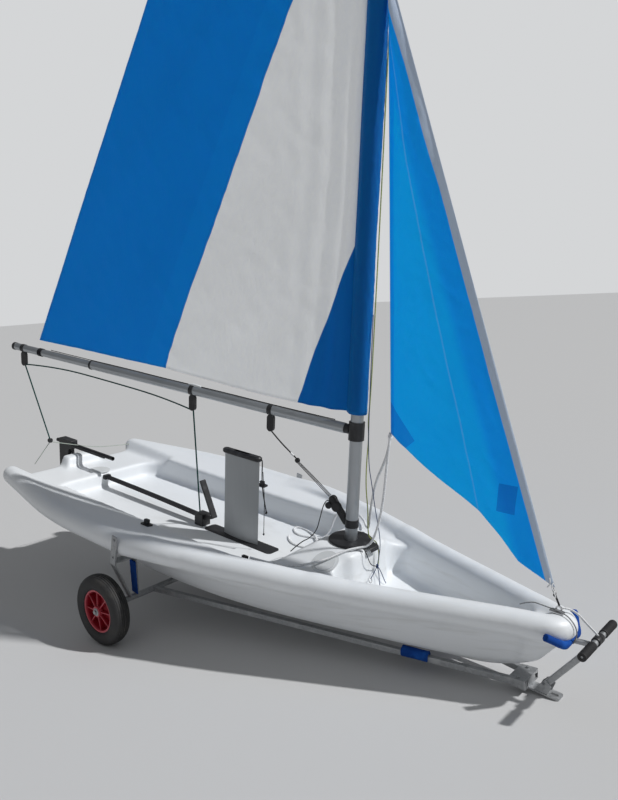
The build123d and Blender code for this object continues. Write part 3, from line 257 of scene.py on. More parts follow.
def copy_of(node_name, name):
    """A merged copy of a node of the frame, free to be reshaped."""
    choose_only(frame["nodes"][node_name])
    bpy.ops.object.duplicate()
    piece = bpy.context.object
    piece.name = name
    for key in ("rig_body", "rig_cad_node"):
        del piece[key]
    piece.parent = None
    piece.data.materials.clear()
    bpy.ops.object.mode_set(mode="EDIT")
    bpy.ops.mesh.select_all(action="SELECT")
    bpy.ops.mesh.remove_doubles(threshold=0.00002)
    bpy.ops.object.mode_set(mode="OBJECT")
    return piece


def settle(piece, look, body, slot, *nodes):
    """Gives a piece its material and body and hides the nodes it stands for; slot is not used."""
    piece.data.materials.clear()
    piece.data.materials.append(look.material)
    if body:
        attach(piece, body)
    if nodes:
        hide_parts(*nodes)


VOXEL = 0.0118
SOFTENING = 11
hull = copy_of("hull", "hull_shell")
STEM = (
    (3.290, 0.060, 0.235), (3.345, 0.018, 0.232), (3.395, 0.026, 0.318), (3.440, 0.030, 0.385),
    (3.425, 0.062, 0.420), (3.320, 0.100, 0.420), (3.300, 0.070, 0.440), (3.420, 0.020, 0.440),
)
stem_mesh = bpy.data.meshes.new("stem")
build = bmesh.new()
for x, half, z in STEM:
    for side in (-1, 1):
        build.verts.new(boat(x, side * half, z))
bmesh.ops.convex_hull(build, input=build.verts)
build.to_mesh(stem_mesh)
build.free()
stem = bpy.data.objects.new("stem", stem_mesh)
bpy.context.collection.objects.link(stem)
choose_only(stem, hull)
bpy.ops.object.join()
remesh = hull.modifiers.new("remesh", "REMESH")
remesh.mode = "VOXEL"
remesh.voxel_size = VOXEL
relax = hull.modifiers.new("relax", "SMOOTH")
relax.factor = 0.5
relax.iterations = SOFTENING
apply_all(hull)
BOW_START, BOW_DRAW = 3.25, 0.17
aboard = boat_matrix.inverted()
# Each row: place along the boat, half breadth of the roll, and how far it is drawn out and up.
ROLL = (
    (1.40, 0.656, 0.000, 0.000), (1.60, 0.654, -0.024, 0.018), (1.80, 0.633, -0.040, 0.028),
    (2.00, 0.563, -0.030, 0.031), (2.20, 0.487, -0.012, 0.013), (2.40, 0.411, 0.000, -0.014),
    (2.60, 0.336, 0.000, -0.020), (2.80, 0.260, 0.000, -0.016), (3.10, 0.146, 0.000, -0.006),
    (3.30, 0.070, 0.000, 0.000),
)
ROLL_Z, ROLL_RISE, RISE_FROM, RISE_OVER = 0.362, 0.055, 2.0, 0.45
ROLL_REACH, ROLL_FADE = 0.062, 0.075
for vertex in hull.data.vertices:
    spot = aboard @ vertex.co
    spot.x += max(spot.x - BOW_START, 0) * BOW_DRAW
    vertex.co = boat(*spot)
    for (x0, *here), (x1, *there) in zip(ROLL, ROLL[1:]):
        if x0 < spot.x <= x1:
            share = (spot.x - x0) / (x1 - x0)
            half, out, up = (a + (b - a) * share for a, b in zip(here, there))
            side = math.copysign(1, spot.y)
            rise = ROLL_Z + ROLL_RISE * min(max((spot.x - RISE_FROM) / RISE_OVER, 0), 1)
            away = math.hypot(abs(spot.y) - half, spot.z - rise)
            hold = 1 - min(max((away - ROLL_REACH) / ROLL_FADE, 0), 1)
            hold *= hold * (3 - 2 * hold)
            vertex.co = boat(spot.x, spot.y + side * out * hold, spot.z + up * hold)
bpy.ops.object.shade_smooth()

shell_look = Look("hull_plastic", (0.80, 0.82, 0.84), 0.42, Coat_Weight=0.12, Coat_Roughness=0.35)
where = shell_look.place()
height = where.part("Z")
cloudy = where.noise(3.0, 4)
clean = shell_look.mix(cloudy, (0.77, 0.795, 0.82), (0.83, 0.85, 0.865))
grime = where.stretched((2, 9, 30)).noise(1.0, 5)
low = 1 - height.ramp(0.30, 0.62)
dirty = grime.ramp(0.48, 0.80) * low * 0.35
shell_look.paint(dirty, clean, (0.50, 0.50, 0.47))
scuffs = where.stretched((1, 8, 8)).noise(12.0, 6, 0.7)
shell_look.put("Roughness", 0.34 + scuffs * 0.22)
shell_look.bump(where.noise(260.0, 2) + scuffs * 0.6, 0.0006, 0.5)
settle(hull, shell_look, "boat", "hull_plastic", "hull")

# Fittings: lids, the mainsheet's base, fairleads, deck blocks and the mast's collar are moulded
# in black or grey plastic. Bow fitting and gudgeons are stainless steel, the straps are webbing.
def dress(look, *names):
    """Gives nodes of the frame, whose shapes stay, a finished material."""
    for name in names:
        for place in frame["nodes"][name].material_slots:
            place.material = look.material


nylon_look = Look("black_nylon", (0.018, 0.018, 0.020), 0.45)
where = nylon_look.place()
speckle = where.noise(420.0, 2)
worn = where.noise(22.0, 5).ramp(0.52, 0.78)
nylon_look.paint(worn, (0.014, 0.014, 0.016), (0.045, 0.045, 0.048))
nylon_look.put("Roughness", 0.36 + speckle * 0.2)
nylon_look.bump(speckle, 0.0003, 0.4)
dress(
    nylon_look,
    "mainsheet_base", "jib_fairlead_starboard", "jib_fairlead_port", "deck_block_starboard",
    "deck_block_port", "mast_collar", "strap_eye", "slot_gasket", "gooseneck", "boom_end_cap",
    "boom_joint_sleeve", "boom_block_aft", "boom_block_middle", "boom_vang_hook", "vang_tackle",
    "mast_ferrule", "rudder_stock", "tiller", "tiller_extension", "daggerboard_head",
)

lid_look = Look("hatch_plastic", (0.62, 0.64, 0.65), 0.4)
where = lid_look.place()
dust = where.noise(9.0, 5)
lid_look.paint(dust, (0.55, 0.57, 0.58), (0.70, 0.72, 0.73))
lid_look.put("Roughness", 0.32 + dust * 0.2)
lid_look.bump(where.noise(300.0, 2), 0.0003, 0.4)
dress(lid_look, "hatch_aft", "hatch_console")

steel_look = Look("stainless_steel", (0.55, 0.55, 0.56), 0.28, 1.0)
where = steel_look.place()
smear = where.stretched((4, 4, 60)).noise(6.0, 4)
steel_look.paint(smear, (0.46, 0.46, 0.47), (0.66, 0.66, 0.67))
steel_look.put("Roughness", 0.18 + smear * 0.25)
dress(steel_look, "bow_fitting", "gudgeon_lower", "gudgeon_upper")

webbing_look = Look("black_webbing", (0.02, 0.02, 0.022), 0.9, Specular_IOR_Level=0.15)
where = webbing_look.place()
ribs = where.part("X") * 1250.0
threads = where.part("Y") * 1250.0
weave = ribs.math("SINE") * threads.math("SINE")
fade = where.noise(7.0, 4)
webbing_look.paint(fade, (0.008, 0.008, 0.010), (0.028, 0.028, 0.032))
webbing_look.bump(weave, 0.0005, 0.6)
dress(webbing_look, "hiking_strap", "jib_tack_strop", "clew_strap")

# Daggerboard: a foil of painted ply, light grey, faintly streaked where it slides in its slot.
board_look = Look("board_paint", (0.46, 0.47, 0.48), 0.38)
where = board_look.place()
streaks = where.stretched((40, 40, 3)).noise(1.0, 5)
board_look.paint(streaks, (0.36, 0.375, 0.385), (0.41, 0.425, 0.435))
board_look.put("Roughness", 0.28 + streaks * 0.15)
board_look.bump(streaks, 0.0002, 0.2)
dress(board_look, "daggerboard")

# Spars: drawn aluminium tube, clear anodised, with fine draw lines along the tube and hazy
# marks from handling.
spar_look = Look("anodised_spar", (0.44, 0.46, 0.48), 0.34, 0.9)
where = spar_look.place()
lines = where.stretched((300, 300, 3)).noise(1.0, 3)
haze = where.noise(5.0, 5)
spar_look.paint(haze, (0.34, 0.36, 0.38), (0.48, 0.50, 0.52))
spar_look.put("Roughness", 0.26 + haze * 0.16 + lines * 0.12)
spar_look.bump(lines, 0.0002, 0.25)
dress(spar_look, "mast_lower", "mast_upper", "boom_forward", "boom_aft")

# Mainsail: one triangle of light woven cloth, blue aft, white in the middle and darker blue
# along the mast, held out by the boom. It bellies a little to starboard, hangs in long soft
# folds behind the mast and is crumpled all over from having been rolled up.
RIG_YAW = math.radians(9.4)
MAST_X = 2.351


def rig(aft, height, out=0.0):
    """A place on the rig: aft of the mast, above the boat's baseline, out to starboard."""
    return boat(
        MAST_X - aft * math.cos(RIG_YAW) + out * math.sin(RIG_YAW),
        -aft * math.sin(RIG_YAW) - out * math.cos(RIG_YAW),
        height,
    )


def along(stops, at):
    """Straight interpolation in a table of (position, value) stops."""
    for (a, va), (b, vb) in zip(stops, stops[1:]):
        if at <= b:
            return va + (vb - va) * (at - a) / (b - a)
    return stops[-1][1]


def thicken(piece, thickness, offset=0):
    skin = piece.modifiers.new("skin", "SOLIDIFY")
    skin.thickness = thickness
    skin.offset = offset
    apply_all(piece)


def woven_panel(name, columns, rows, place_of, thickness):
    """A sheet of cloth as a grid with its own UV map, place_of(u, v) giving place and UV."""
    mesh = bpy.data.meshes.new(name)
    build = bmesh.new()
    uv = build.loops.layers.uv.new("cloth")
    grid = []
    for j in range(rows + 1):
        spots = [place_of(i / columns, j / rows) for i in range(columns + 1)]
        grid.append([(build.verts.new(spot), at) for spot, at in spots])
    for j in range(rows):
        for i in range(columns):
            corners = (grid[j][i], grid[j][i + 1], grid[j + 1][i + 1], grid[j + 1][i])
            face = build.faces.new([corner[0] for corner in corners])
            face.smooth = True
            for loop, corner in zip(face.loops, corners):
                loop[uv].uv = corner[1]
    build.to_mesh(mesh)
    build.free()
    piece = bpy.data.objects.new(name, mesh)
    bpy.context.collection.objects.link(piece)
    thicken(piece, thickness)
    return piece


MAIN_FOOT_H = (
    (0.04, 1.124), (0.322, 1.128), (0.721, 1.155), (1.174, 1.200), (1.687, 1.224), (2.19, 1.246),
)
MAIN_CLEW_S, MAIN_HEAD_H, MAIN_HEAD_S = 2.19, 5.36, 0.175
MAIN_TACK_S = 0.046
UV_WIDTH, UV_HEIGHT, UV_FOOT = 2.4, 4.6, 1.0


def ripple(at, size, seed, stretch=(1, 1)):
    return noise.noise(Vector((at[0] * stretch[0] / size, at[1] * stretch[1] / size, seed)))


def main_spot(u, v):
    """Foot to head along v, leech to mast along u."""
    s_foot = MAIN_CLEW_S + (MAIN_TACK_S - MAIN_CLEW_S) * u
    h_foot = along(MAIN_FOOT_H, s_foot)
    s_head = MAIN_HEAD_S + (MAIN_TACK_S - MAIN_HEAD_S) * u
    s = s_foot + (s_head - s_foot) * v
    h = h_foot + (MAIN_HEAD_H - h_foot) * v
    chord = MAIN_CLEW_S + (MAIN_HEAD_S - MAIN_CLEW_S) * v
    across = min(max(1 - (s - MAIN_TACK_S) / chord, 0), 1)
    belly = 4 * across * (1 - across) * (0.6 + 0.4 * across)
    rise = min(v * 9, 1) ** 0.5
    out = 0.055 * belly * (0.35 + 0.65 * rise) * (1 - 0.4 * v)
    calm = min(1, (1 - across) * 12) * min(1, across * 8 + 0.15)
    near_mast = max(0, 1 - (s - MAIN_TACK_S) / 0.42)
    folds = math.sin((s * 1.25 + 0.03 * h) * 42 + ripple((s, h), 0.6, 4.0) * 2.2)
    out += 0.012 * near_mast * folds
    out += 0.016 * ripple((s + 0.8 * h, h), 0.30, 1.0, (1.0, 0.35)) * calm
    diagonal = (s * 0.80 - h * 0.60, s * 0.60 + h * 0.80)
    out += 0.0078 * abs(ripple(diagonal, 0.085, 2.0, (1.0, 0.40))) * calm
    out += 0.0044 * abs(ripple((s, h), 0.060, 3.0)) * calm
    return rig(s, h, out), (s / UV_WIDTH, (h - UV_FOOT) / UV_HEIGHT)


main = woven_panel("mainsail_cloth", 96, 190, main_spot, 0.0012)


def cloth_weave(look, uv, width, height):
    """Threads, creases and fine crumples of sailcloth as bump, from its UV map in metres."""
    metres = uv.stretched((width, height, 1))
    warp = (metres.part("X") * 4200.0).math("SINE")
    weft = (metres.part("Y") * 4200.0).math("SINE")
    crease = metres.stretched((1.0, 0.5, 1), (0, 0, 0.64)).noise(46.0, 4, 0.55)
    fine = metres.noise(170.0, 3, 0.6)
    look.bump(warp * weft * 0.02 + crease * 1.0 + fine * 0.25, 0.005, 0.55)
    # The crease pattern also serves for painted light and shade along the creases.
    return metres, crease


def glow(look, color, strength):
    """Colours cloth and gives it a faint light of its own, for the daylight behind it."""
    look.put("Base Color", color)
    look.put("Emission Color", color)
    look.put("Emission Strength", strength)


# The cloth is thin enough for daylight to scatter through it.
THIN = {
    "Subsurface_Weight": 0.85, "Subsurface_Radius": (1.0, 1.0, 1.0), "Subsurface_Scale": 0.004,
}
SAIL_BLUE = (0.001, 0.200, 0.60)
SAIL_BLUE_LIGHT = (0.001, 0.215, 0.62)
LUFF_BLUE = (0.001, 0.115, 0.40)
SAIL_WHITE = (0.92, 0.95, 0.97)
main_look = Look("main_cloth", SAIL_BLUE, 0.7, Specular_IOR_Level=0.12, **THIN)
metres, crease = cloth_weave(main_look, main_look.uv(), UV_WIDTH, UV_HEIGHT)
aft = metres.part("X")
tall = metres.part("Y") + UV_FOOT
SEAM_AFT, SEAM_H, SEAM_LEAN = 1.174, 1.198, 0.430
TACK_TOP_H, LUFF_BAND, LEECH_BAND = 1.95, 0.045, 0.150
seam_aft = SEAM_AFT - (tall - SEAM_H) * SEAM_LEAN
white = (seam_aft - aft).ramp(-0.002, 0.002)
tack_low = (TACK_TOP_H - tall).math("MAXIMUM", 0.0)
seam_luff = LUFF_BAND + tack_low * 0.35
luff_blue = (seam_luff - aft).ramp(-0.002, 0.002)
band = (aft - seam_aft).ramp(LEECH_BAND, LEECH_BAND + 0.004)
mottle = metres.noise(2.2, 4)
leech_blue = main_look.mix(band, SAIL_BLUE_LIGHT, SAIL_BLUE)
leech_blue = main_look.mix(mottle * 0.35, leech_blue, (0.002, 0.250, 0.72))
# Painted light and shade: the white cloth is greyer in its crease hollows, brighter on crests.
pale = main_look.mix(crease, (0.84, 0.87, 0.91), SAIL_WHITE)
tinted = main_look.mix(white, leech_blue, pale)
tinted = main_look.mix(luff_blue, tinted, LUFF_BLUE)


def stitch_row(beside):
    return (1 - abs(beside).ramp(0.001, 0.003)) * 0.5


stitches = stitch_row(aft - seam_aft - 0.012) + stitch_row(aft - seam_aft + 0.0005)
sewn = main_look.mix(stitches * 0.5, tinted, (0.02, 0.05, 0.16))
glow(main_look, sewn, 0.07)
settle(main, main_look, "rig", "main_cloth", "mainsail")

# Luff sleeve: cloth of the darker blue, sewn back on itself round the mast, a slim pocket that
# pulls into shallow gathers where it is slack.
SLEEVE_FRONT, SLEEVE_SIDE, SLEEVE_TAIL = 0.046, 0.041, 0.058
SLEEVE_FOOT_H, SLEEVE_HEAD_H, SLEEVE_WIDTH = 1.122, 5.36, 0.26


def sleeve_spot(u, v):
    """Round the mast from one side of the tail to the other along u, foot to head along v."""
    h = SLEEVE_FOOT_H + (SLEEVE_HEAD_H - SLEEVE_FOOT_H) * v
    turn = (u * 2 - 1) * math.pi
    tail = max(0.0, math.cos(turn + math.pi)) ** 3
    reach = SLEEVE_FRONT if abs(turn) < math.pi / 2 else SLEEVE_TAIL
    s = -reach * math.cos(turn)
    side = SLEEVE_SIDE * math.sin(turn) * (1 - 0.93 * tail)
    gather = 0.0035 * ripple((turn * 0.12, h), 0.10, 6.0, (1, 0.25))
    gather += 0.002 * ripple((turn * 0.1, h), 0.03, 7.0)
    push = 1 + gather / SLEEVE_SIDE * (1 - tail)
    return rig(s * push, h, side * push), (u, (h - UV_FOOT) / UV_HEIGHT)


sleeve = woven_panel("luff_sleeve_cloth", 40, 240, sleeve_spot, 0.0010)
sleeve_look = Look("sleeve_cloth", LUFF_BLUE, 0.7, Specular_IOR_Level=0.12, **THIN)
metres, crease = cloth_weave(sleeve_look, sleeve_look.uv(), SLEEVE_WIDTH, UV_HEIGHT)
mottle = metres.noise(6.0, 4)
# Mottled tone, with painted light and shade along the creases.
sleeve_look.paint(mottle * 0.5 + crease * 0.3, LUFF_BLUE, (0.003, 0.14, 0.42))
settle(sleeve, sleeve_look, "rig", "sleeve_cloth", "mainsail_luff_sleeve")

# Jib: a small triangle of lighter azure cloth with a taped luff, set between the mast and the
# bow fitting. Its leech is hemmed and its clew doubled, one seam runs up its middle, and a
# darker patch is sewn on above its foot.
JIB_LUFF = ((0.576, 3.392), (3.04, 2.392))
JIB_LEECH = ((1.065, 2.547), (1.678, 2.503), (2.115, 2.471), (2.581, 2.437), (3.04, 2.392))
JIB_FOOT = (
    (0.0, 2.547, 1.065), (0.235, 2.733, 0.976), (0.44, 2.904, 0.895), (0.61, 3.042, 0.825),
    (0.73, 3.143, 0.744), (0.85, 3.235, 0.654), (1.0, 3.392, 0.576),
)
JIB_CLEW_X, JIB_CLEW_Z, JIB_TACK_X = 2.547, 1.065, 3.392
JIB_TOP_Z, JIB_TOP_AFT, JIB_TOP_FORE = 3.03, 2.392, 2.404
JIB_UV_X, JIB_UV_Z, JIB_UV_WIDTH, JIB_UV_HEIGHT = 2.35, 0.5, 1.1, 2.6


def jib_spot(u, v):
    """Leech to luff along u, foot to head along v."""
    x0 = along([(t, x) for t, x, z in JIB_FOOT], u)
    z0 = along([(t, z) for t, x, z in JIB_FOOT], u)
    z = z0 + (JIB_TOP_Z - z0) * v
    luff = along(JIB_LUFF, z)
    leech = along(JIB_LEECH, z) if z > JIB_CLEW_Z else JIB_CLEW_X
    foot_share = (x0 - JIB_CLEW_X) / (JIB_TACK_X - JIB_CLEW_X)
    x_head = JIB_TOP_AFT + (JIB_TOP_FORE - JIB_TOP_AFT) * foot_share
    x = x0 + (x_head - x0) * v
    share = min(max((x - leech) / max(luff - leech, 0.001), 0), 1)
    out = 0.045 * 4 * share * (1 - share) * (1 - 0.5 * v)
    calm = min(1, share * 10) * min(1, (1 - share) * 10)
    out += 0.012 * ripple((x, z), 0.22, 11.0, (1, 0.4)) * calm
    out += 0.0062 * abs(ripple((x * 0.8 + z * 0.5, z), 0.085, 12.0, (1, 0.5))) * calm
    out += 0.0016 * ripple((x, z), 0.035, 13.0) * calm
    return boat(x, -out, z), ((x - JIB_UV_X) / JIB_UV_WIDTH, (z - JIB_UV_Z) / JIB_UV_HEIGHT)


jib = woven_panel("jib_cloth_sheet", 60, 150, jib_spot, 0.0012)
JIB_BLUE, JIB_DEEP = (0.001, 0.36, 0.97), (0.001, 0.24, 0.78)
jib_look = Look("jib_cloth", JIB_BLUE, 0.65, Specular_IOR_Level=0.15, **THIN)
metres, crease = cloth_weave(jib_look, jib_look.uv(), JIB_UV_WIDTH, JIB_UV_HEIGHT)
fore = metres.part("X") + JIB_UV_X
tall = metres.part("Y") + JIB_UV_Z
LUFF_X, LUFF_LEAN, LEECH_X, LEECH_LEAN = 3.626, 0.4059, 2.6237, 0.0728
inside = LUFF_X - tall * LUFF_LEAN - fore
tape = 1 - inside.ramp(0.030, 0.034)
# Painted shade: a darker strip along the luff, where the cloth turns away from the light.
luff_painted_shade = 1 - inside.ramp(0.10, 0.16)
hem = 1 - (fore - (LEECH_X - tall * LEECH_LEAN)).ramp(0.022, 0.025)
mottle = metres.noise(4.0, 4)
# Mottled tone, with painted light and shade along the creases.
tinted = jib_look.mix(mottle * 0.4 + crease * 0.2, JIB_BLUE, (0.002, 0.46, 1.00))
# JIB_DEEP darkens the real hem and, as painted shade, the strip along the luff.
tinted = jib_look.mix((luff_painted_shade * 0.55).math("MAXIMUM", hem * 0.5), tinted, JIB_DEEP)
tinted = jib_look.mix(tape * 0.9, tinted, (0.40, 0.43, 0.46))
curve = 0.020 * (tall * 2.2).math("SINE")
panel_seam = abs(inside - 0.36 + tall * 0.105 + curve)
seam = 1 - panel_seam.ramp(0.0020, 0.0045)
clew_far = fore - JIB_CLEW_X + abs(tall - JIB_CLEW_Z) * 1.1
doubled = 1 - clew_far.ramp(0.150, 0.153)
PATCH_X, PATCH_Z = 3.155, 0.905
patch_x = 1 - abs(fore - PATCH_X).ramp(0.038, 0.040)
patch_z = 1 - abs(tall - PATCH_Z).ramp(0.060, 0.062)
tinted = jib_look.mix(seam * 0.5, tinted, (0.10, 0.42, 0.90))
sewn_on = (doubled * 0.45).math("MAXIMUM", patch_x * patch_z * 0.55)
tinted = jib_look.mix(sewn_on, tinted, (0.001, 0.10, 0.42))
glow(jib_look, tinted, 0.12)
settle(jib, jib_look, "boat", "jib_cloth", "jib")

# Running rigging: braided ropes, each a smooth line that sags a little between what holds it.
# Those held taut between fittings just end in them. The braid of two colours turns round the
# rope along its own UV map, which is in metres.
PLAIT_PITCH = 0.011


def rope_look(name, first, second, flecks=0.5):
    look = Look(name, first, 0.85, Specular_IOR_Level=0.2)
    # Painted shade in the grooves between the plait's strands, also used for wear on the rope.
    groove_shade_and_wear = tuple(c * 0.6 for c in first)
    uv = look.uv()
    run, turn = uv.part("X") / PLAIT_PITCH, uv.part("Y")
    one = ((run + turn * 2.0) * math.tau).math("SINE")
    other = ((run - turn * 2.0) * math.tau).math("SINE")
    plait = one * other
    specks = uv.stretched((90, 3, 1)).noise(1.0, 2)
    fleck = specks.ramp(0.54 - flecks * 0.1, 0.60)
    worn = look.place().noise(30.0, 4)
    tinted = look.mix(fleck * flecks, first, second)
    tinted = look.mix(worn * 0.4, tinted, groove_shade_and_wear)
    # The plait's grooves are darkened as painted shade.
    look.paint(plait.ramp(-0.9, -0.2), groove_shade_and_wear, tinted)
    look.bump(plait, 0.0012, 0.7)
    return look


def rope(name, points, radius, look, body):
    """A rope along a smooth line through the row frame. Returns it, its length and its path."""
    line = bpy.data.curves.new(name, "CURVE")
    line.dimensions = "3D"
    line.resolution_u = 8
    spline = line.splines.new("NURBS")
    spline.points.add(len(points) - 1)
    for point, spot in zip(spline.points, points):
        point.co = (*spot, 1)
    spline.use_endpoint_u = True
    spline.order_u = 3
    piece = bpy.data.objects.new(name, line)
    bpy.context.collection.objects.link(piece)
    path = [vertex.co.copy() for vertex in bpy.data.meshes.new_from_object(piece).vertices]
    length = sum((b - a).length for a, b in zip(path, path[1:]))
    line.bevel_depth = radius
    line.bevel_resolution = 2
    line.use_fill_caps = True
    choose_only(piece)
    bpy.ops.object.convert(target="MESH")
    piece = bpy.context.object
    for corner in piece.data.uv_layers[0].data:
        corner.uv.x *= length
    bpy.ops.object.shade_smooth()
    settle(piece, look, body, "black_webbing")
    return piece, length, path


def boat_rope(name, points, radius, look, body="boat"):
    """A rope whose points are measured from the transom and its baseline."""
    return rope(name, [boat(*point) for point in points], radius, look, body)


def loose_cord(name, points, radius, look, body):
    """A rope that hangs or lies free from its first point on."""
    piece, length, path = boat_rope(name, points, radius, look, body)
    return piece


green_rope = rope_look("green_rope", (0.004, 0.060, 0.055), (0.010, 0.13, 0.11))
white_rope = rope_look("white_rope", (0.93, 0.94, 0.95), (0.50, 0.52, 0.56), 0.45)
bridle_rope = rope_look("bridle_rope", (0.50, 0.54, 0.48), (0.22, 0.34, 0.30))
yellow_rope = rope_look("yellow_rope", (0.36, 0.42, 0.12), (0.55, 0.55, 0.30))
blue_rope = rope_look("blue_rope", (0.03, 0.06, 0.16), (0.16, 0.18, 0.26))
black_rope = rope_look("black_rope", (0.014, 0.014, 0.016), (0.05, 0.05, 0.055))

BRIDLE = (
    (-0.030, -0.300, 0.385), (-0.012, -0.272, 0.433), (0.022, -0.226, 0.520),
    (0.030, -0.214, 0.536), (0.030, -0.190, 0.528), (0.030, 0.050, 0.453), (0.030, 0.145, 0.428),
    (0.026, 0.300, 0.404), (0.010, 0.440, 0.387),
)
boat_rope("bridle", BRIDLE, 0.0026, bridle_rope)

# Mainsheet, in three lengths: aft end of the boom to the bridle, along under the boom, and down
# to the cleat on the cockpit's middle. The first and last stay fixed where rig and boat meet.
MAINSHEET_RADIUS = 0.0042
sheet_aft, sheet_top = boat(0.030, -0.216, 0.548), rig(2.338, 1.085)
aft_run = [sheet_aft, sheet_aft.lerp(sheet_top, 0.3), sheet_aft.lerp(sheet_top, 0.7), sheet_top]
piece = rope("mainsheet_aft", aft_run, MAINSHEET_RADIUS, green_rope, None)[0]
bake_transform(piece)
under = [rig(2.325, 1.078), rig(2.05, 1.095), rig(1.60, 1.062), rig(1.20, 1.026), rig(1.005, 0.985)]
rope("mainsheet_under_boom", under, MAINSHEET_RADIUS, green_rope, "rig")
cleat_top = boat(1.262, -0.012, 0.330)
mid_top = rig(0.996, 0.985)
fall = [mid_top, mid_top.lerp(cleat_top, 0.3), mid_top.lerp(cleat_top, 0.75), cleat_top]
piece = rope("mainsheet_fall", fall, MAINSHEET_RADIUS, green_rope, None)[0]
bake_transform(piece)

# Blocks: two rounded cheeks of black nylon with a waist between them, standing where the ropes
# turn. The four of the vang sit on its tackle, their axles across the rig.
def fresh(add, name, **sizes):
    """A new primitive, alone in the selection."""
    bpy.ops.object.select_all(action="DESELECT")
    add(**sizes)
    piece = bpy.context.object
    piece.name = name
    return piece


def aim(piece, centre, facing):
    """Turns a piece that was made round the Z axis to facing, and moves it to centre."""
    turn = Vector((0, 0, 1)).rotation_difference(Vector(facing).normalized())
    piece.data.transform(Matrix.Translation(centre) @ turn.to_matrix().to_4x4())


def soften(piece, width, segments=2):
    soft = piece.modifiers.new("soft", "BEVEL")
    soft.width = width
    soft.segments = segments
    apply_all(piece)


def block(name, centre, size, facing, body):
    cylinder = bpy.ops.mesh.primitive_cylinder_add
    piece = fresh(cylinder, name, vertices=28, radius=size, depth=size * 0.9)
    bpy.ops.object.mode_set(mode="EDIT")
    build = bmesh.from_edit_mesh(piece.data)
    for face in build.faces:
        face.select = abs(face.normal.z) < 0.5
    bpy.ops.mesh.select_mode(type="FACE")
    bmesh.update_edit_mesh(piece.data)
    bpy.ops.mesh.inset(thickness=size * 0.22, depth=0, use_even_offset=True)
    bpy.ops.transform.resize(value=(0.72, 0.72, 1))
    bpy.ops.mesh.select_all(action="DESELECT")
    build = bmesh.from_edit_mesh(piece.data)
    for face in build.faces:
        face.select = abs(face.normal.z) > 0.99 and len(face.verts) > 4
    bmesh.update_edit_mesh(piece.data)
    bpy.ops.mesh.inset(thickness=size * 0.62, depth=size * 0.12)
    bpy.ops.object.mode_set(mode="OBJECT")
    soften(piece, size * 0.06)
    bpy.ops.object.shade_smooth_by_angle(angle=math.radians(40))
    aim(piece, centre, facing)
    settle(piece, nylon_look, body, "black_plastic")


across_rig = rig(0, 0, 1) - rig(0, 0, 0)
block("block_bridle", boat(0.030, -0.216, 0.545), 0.016, (1, 0, 0), "boat")
for name, centre, size in (
    ("upper", rig(0.325, 0.826), 0.013), ("lower", rig(0.110, 0.664), 0.021),
    ("ratchet", rig(0.082, 0.634, 0.014), 0.025), ("cleat", rig(0.128, 0.632, 0.010), 0.018),
):
    block(f"block_vang_{name}", centre, size, across_rig, "rig")

# Vang: a thin braided strop from the boom's hook, then three parts of thin line to the tackle
# at the foot of the mast, whose tail falls aft of the mast and lies across to starboard.
strop = [rig(0.4916, 0.958), rig(0.44, 0.912), rig(0.37, 0.862), rig(0.330, 0.834)]
rope("vang_strop", strop, 0.0036, black_rope, "rig")
for index, spread in enumerate((-0.011, 0.0, 0.011)):
    part = [
        rig(0.318, 0.815, spread * 0.8), rig(0.25, 0.768, spread), rig(0.17, 0.709, spread),
        rig(0.128, 0.678, spread),
    ]
    rope(f"vang_part_{index + 1}", part, 0.0019, black_rope, "rig")
whipping = [rig(0.366, 0.858), rig(0.357, 0.852), rig(0.348, 0.846)]
rope("vang_whipping", whipping, 0.0052, white_rope, "rig")
VANG_TAIL = (
    (2.236, -0.020, 0.640), (2.200, 0.000, 0.650), (2.140, 0.040, 0.600), (2.085, 0.085, 0.500),
    (2.078, 0.070, 0.425), (2.100, -0.020, 0.412), (2.120, -0.110, 0.428), (2.150, -0.223, 0.422),
)
piece = loose_cord("vang_tail", VANG_TAIL, 0.0026, black_rope, None)
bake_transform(piece)

# Halyard, yellow and green, slack between the jib's head and the console just ahead of the mast,
# and beside it a thin blue line that ends in a knot with two tails and a shackle.
HALYARD = (
    (2.402, 0.012, 3.035), (2.400, 0.020, 2.60), (2.398, 0.030, 2.10), (2.400, 0.030, 1.60),
    (2.400, 0.032, 1.192), (2.400, 0.021, 1.086), (2.400, 0.036, 1.009), (2.400, 0.028, 0.884),
    (2.402, 0.030, 0.756), (2.408, 0.052, 0.633), (2.412, 0.050, 0.560), (2.420, 0.052, 0.500),
    (2.438, 0.050, 0.488), (2.466, 0.048, 0.487), (2.484, 0.045, 0.468), (2.4945, 0.043, 0.430),
    (2.4950, 0.040, 0.390), (2.4950, 0.038, 0.352),
)
loose_cord("halyard", HALYARD, 0.0028, yellow_rope, "boat")
KNOT = (2.497, 0.029, 0.372)
BLUE_LINE = (
    (2.404, 0.010, 1.60), (2.412, 0.006, 1.20), (2.425, 0.004, 0.899), (2.440, 0.026, 0.778),
    (2.452, 0.050, 0.646), (2.470, 0.060, 0.560), (2.492, 0.052, 0.489), (2.499, 0.040, 0.430),
    KNOT,
)
TAIL_LONG = (
    KNOT, (2.502, 0.050, 0.345), (2.503, 0.070, 0.312), (2.505, 0.090, 0.276),
    (2.512, 0.094, 0.262),
)
TAIL_SHORT = (
    KNOT, (2.502, 0.036, 0.345), (2.504, 0.040, 0.315), (2.506, 0.042, 0.290),
    (2.513, 0.040, 0.268),
)
SHACKLE_PART = (KNOT, (2.501, 0.012, 0.360), (2.502, -0.012, 0.342), (2.502, -0.026, 0.326))
BLACK_LOOP = (
    (2.468, -0.060, 0.484), (2.490, -0.058, 0.462), (2.498, -0.046, 0.420),
    (2.499, -0.015, 0.385), KNOT,
)
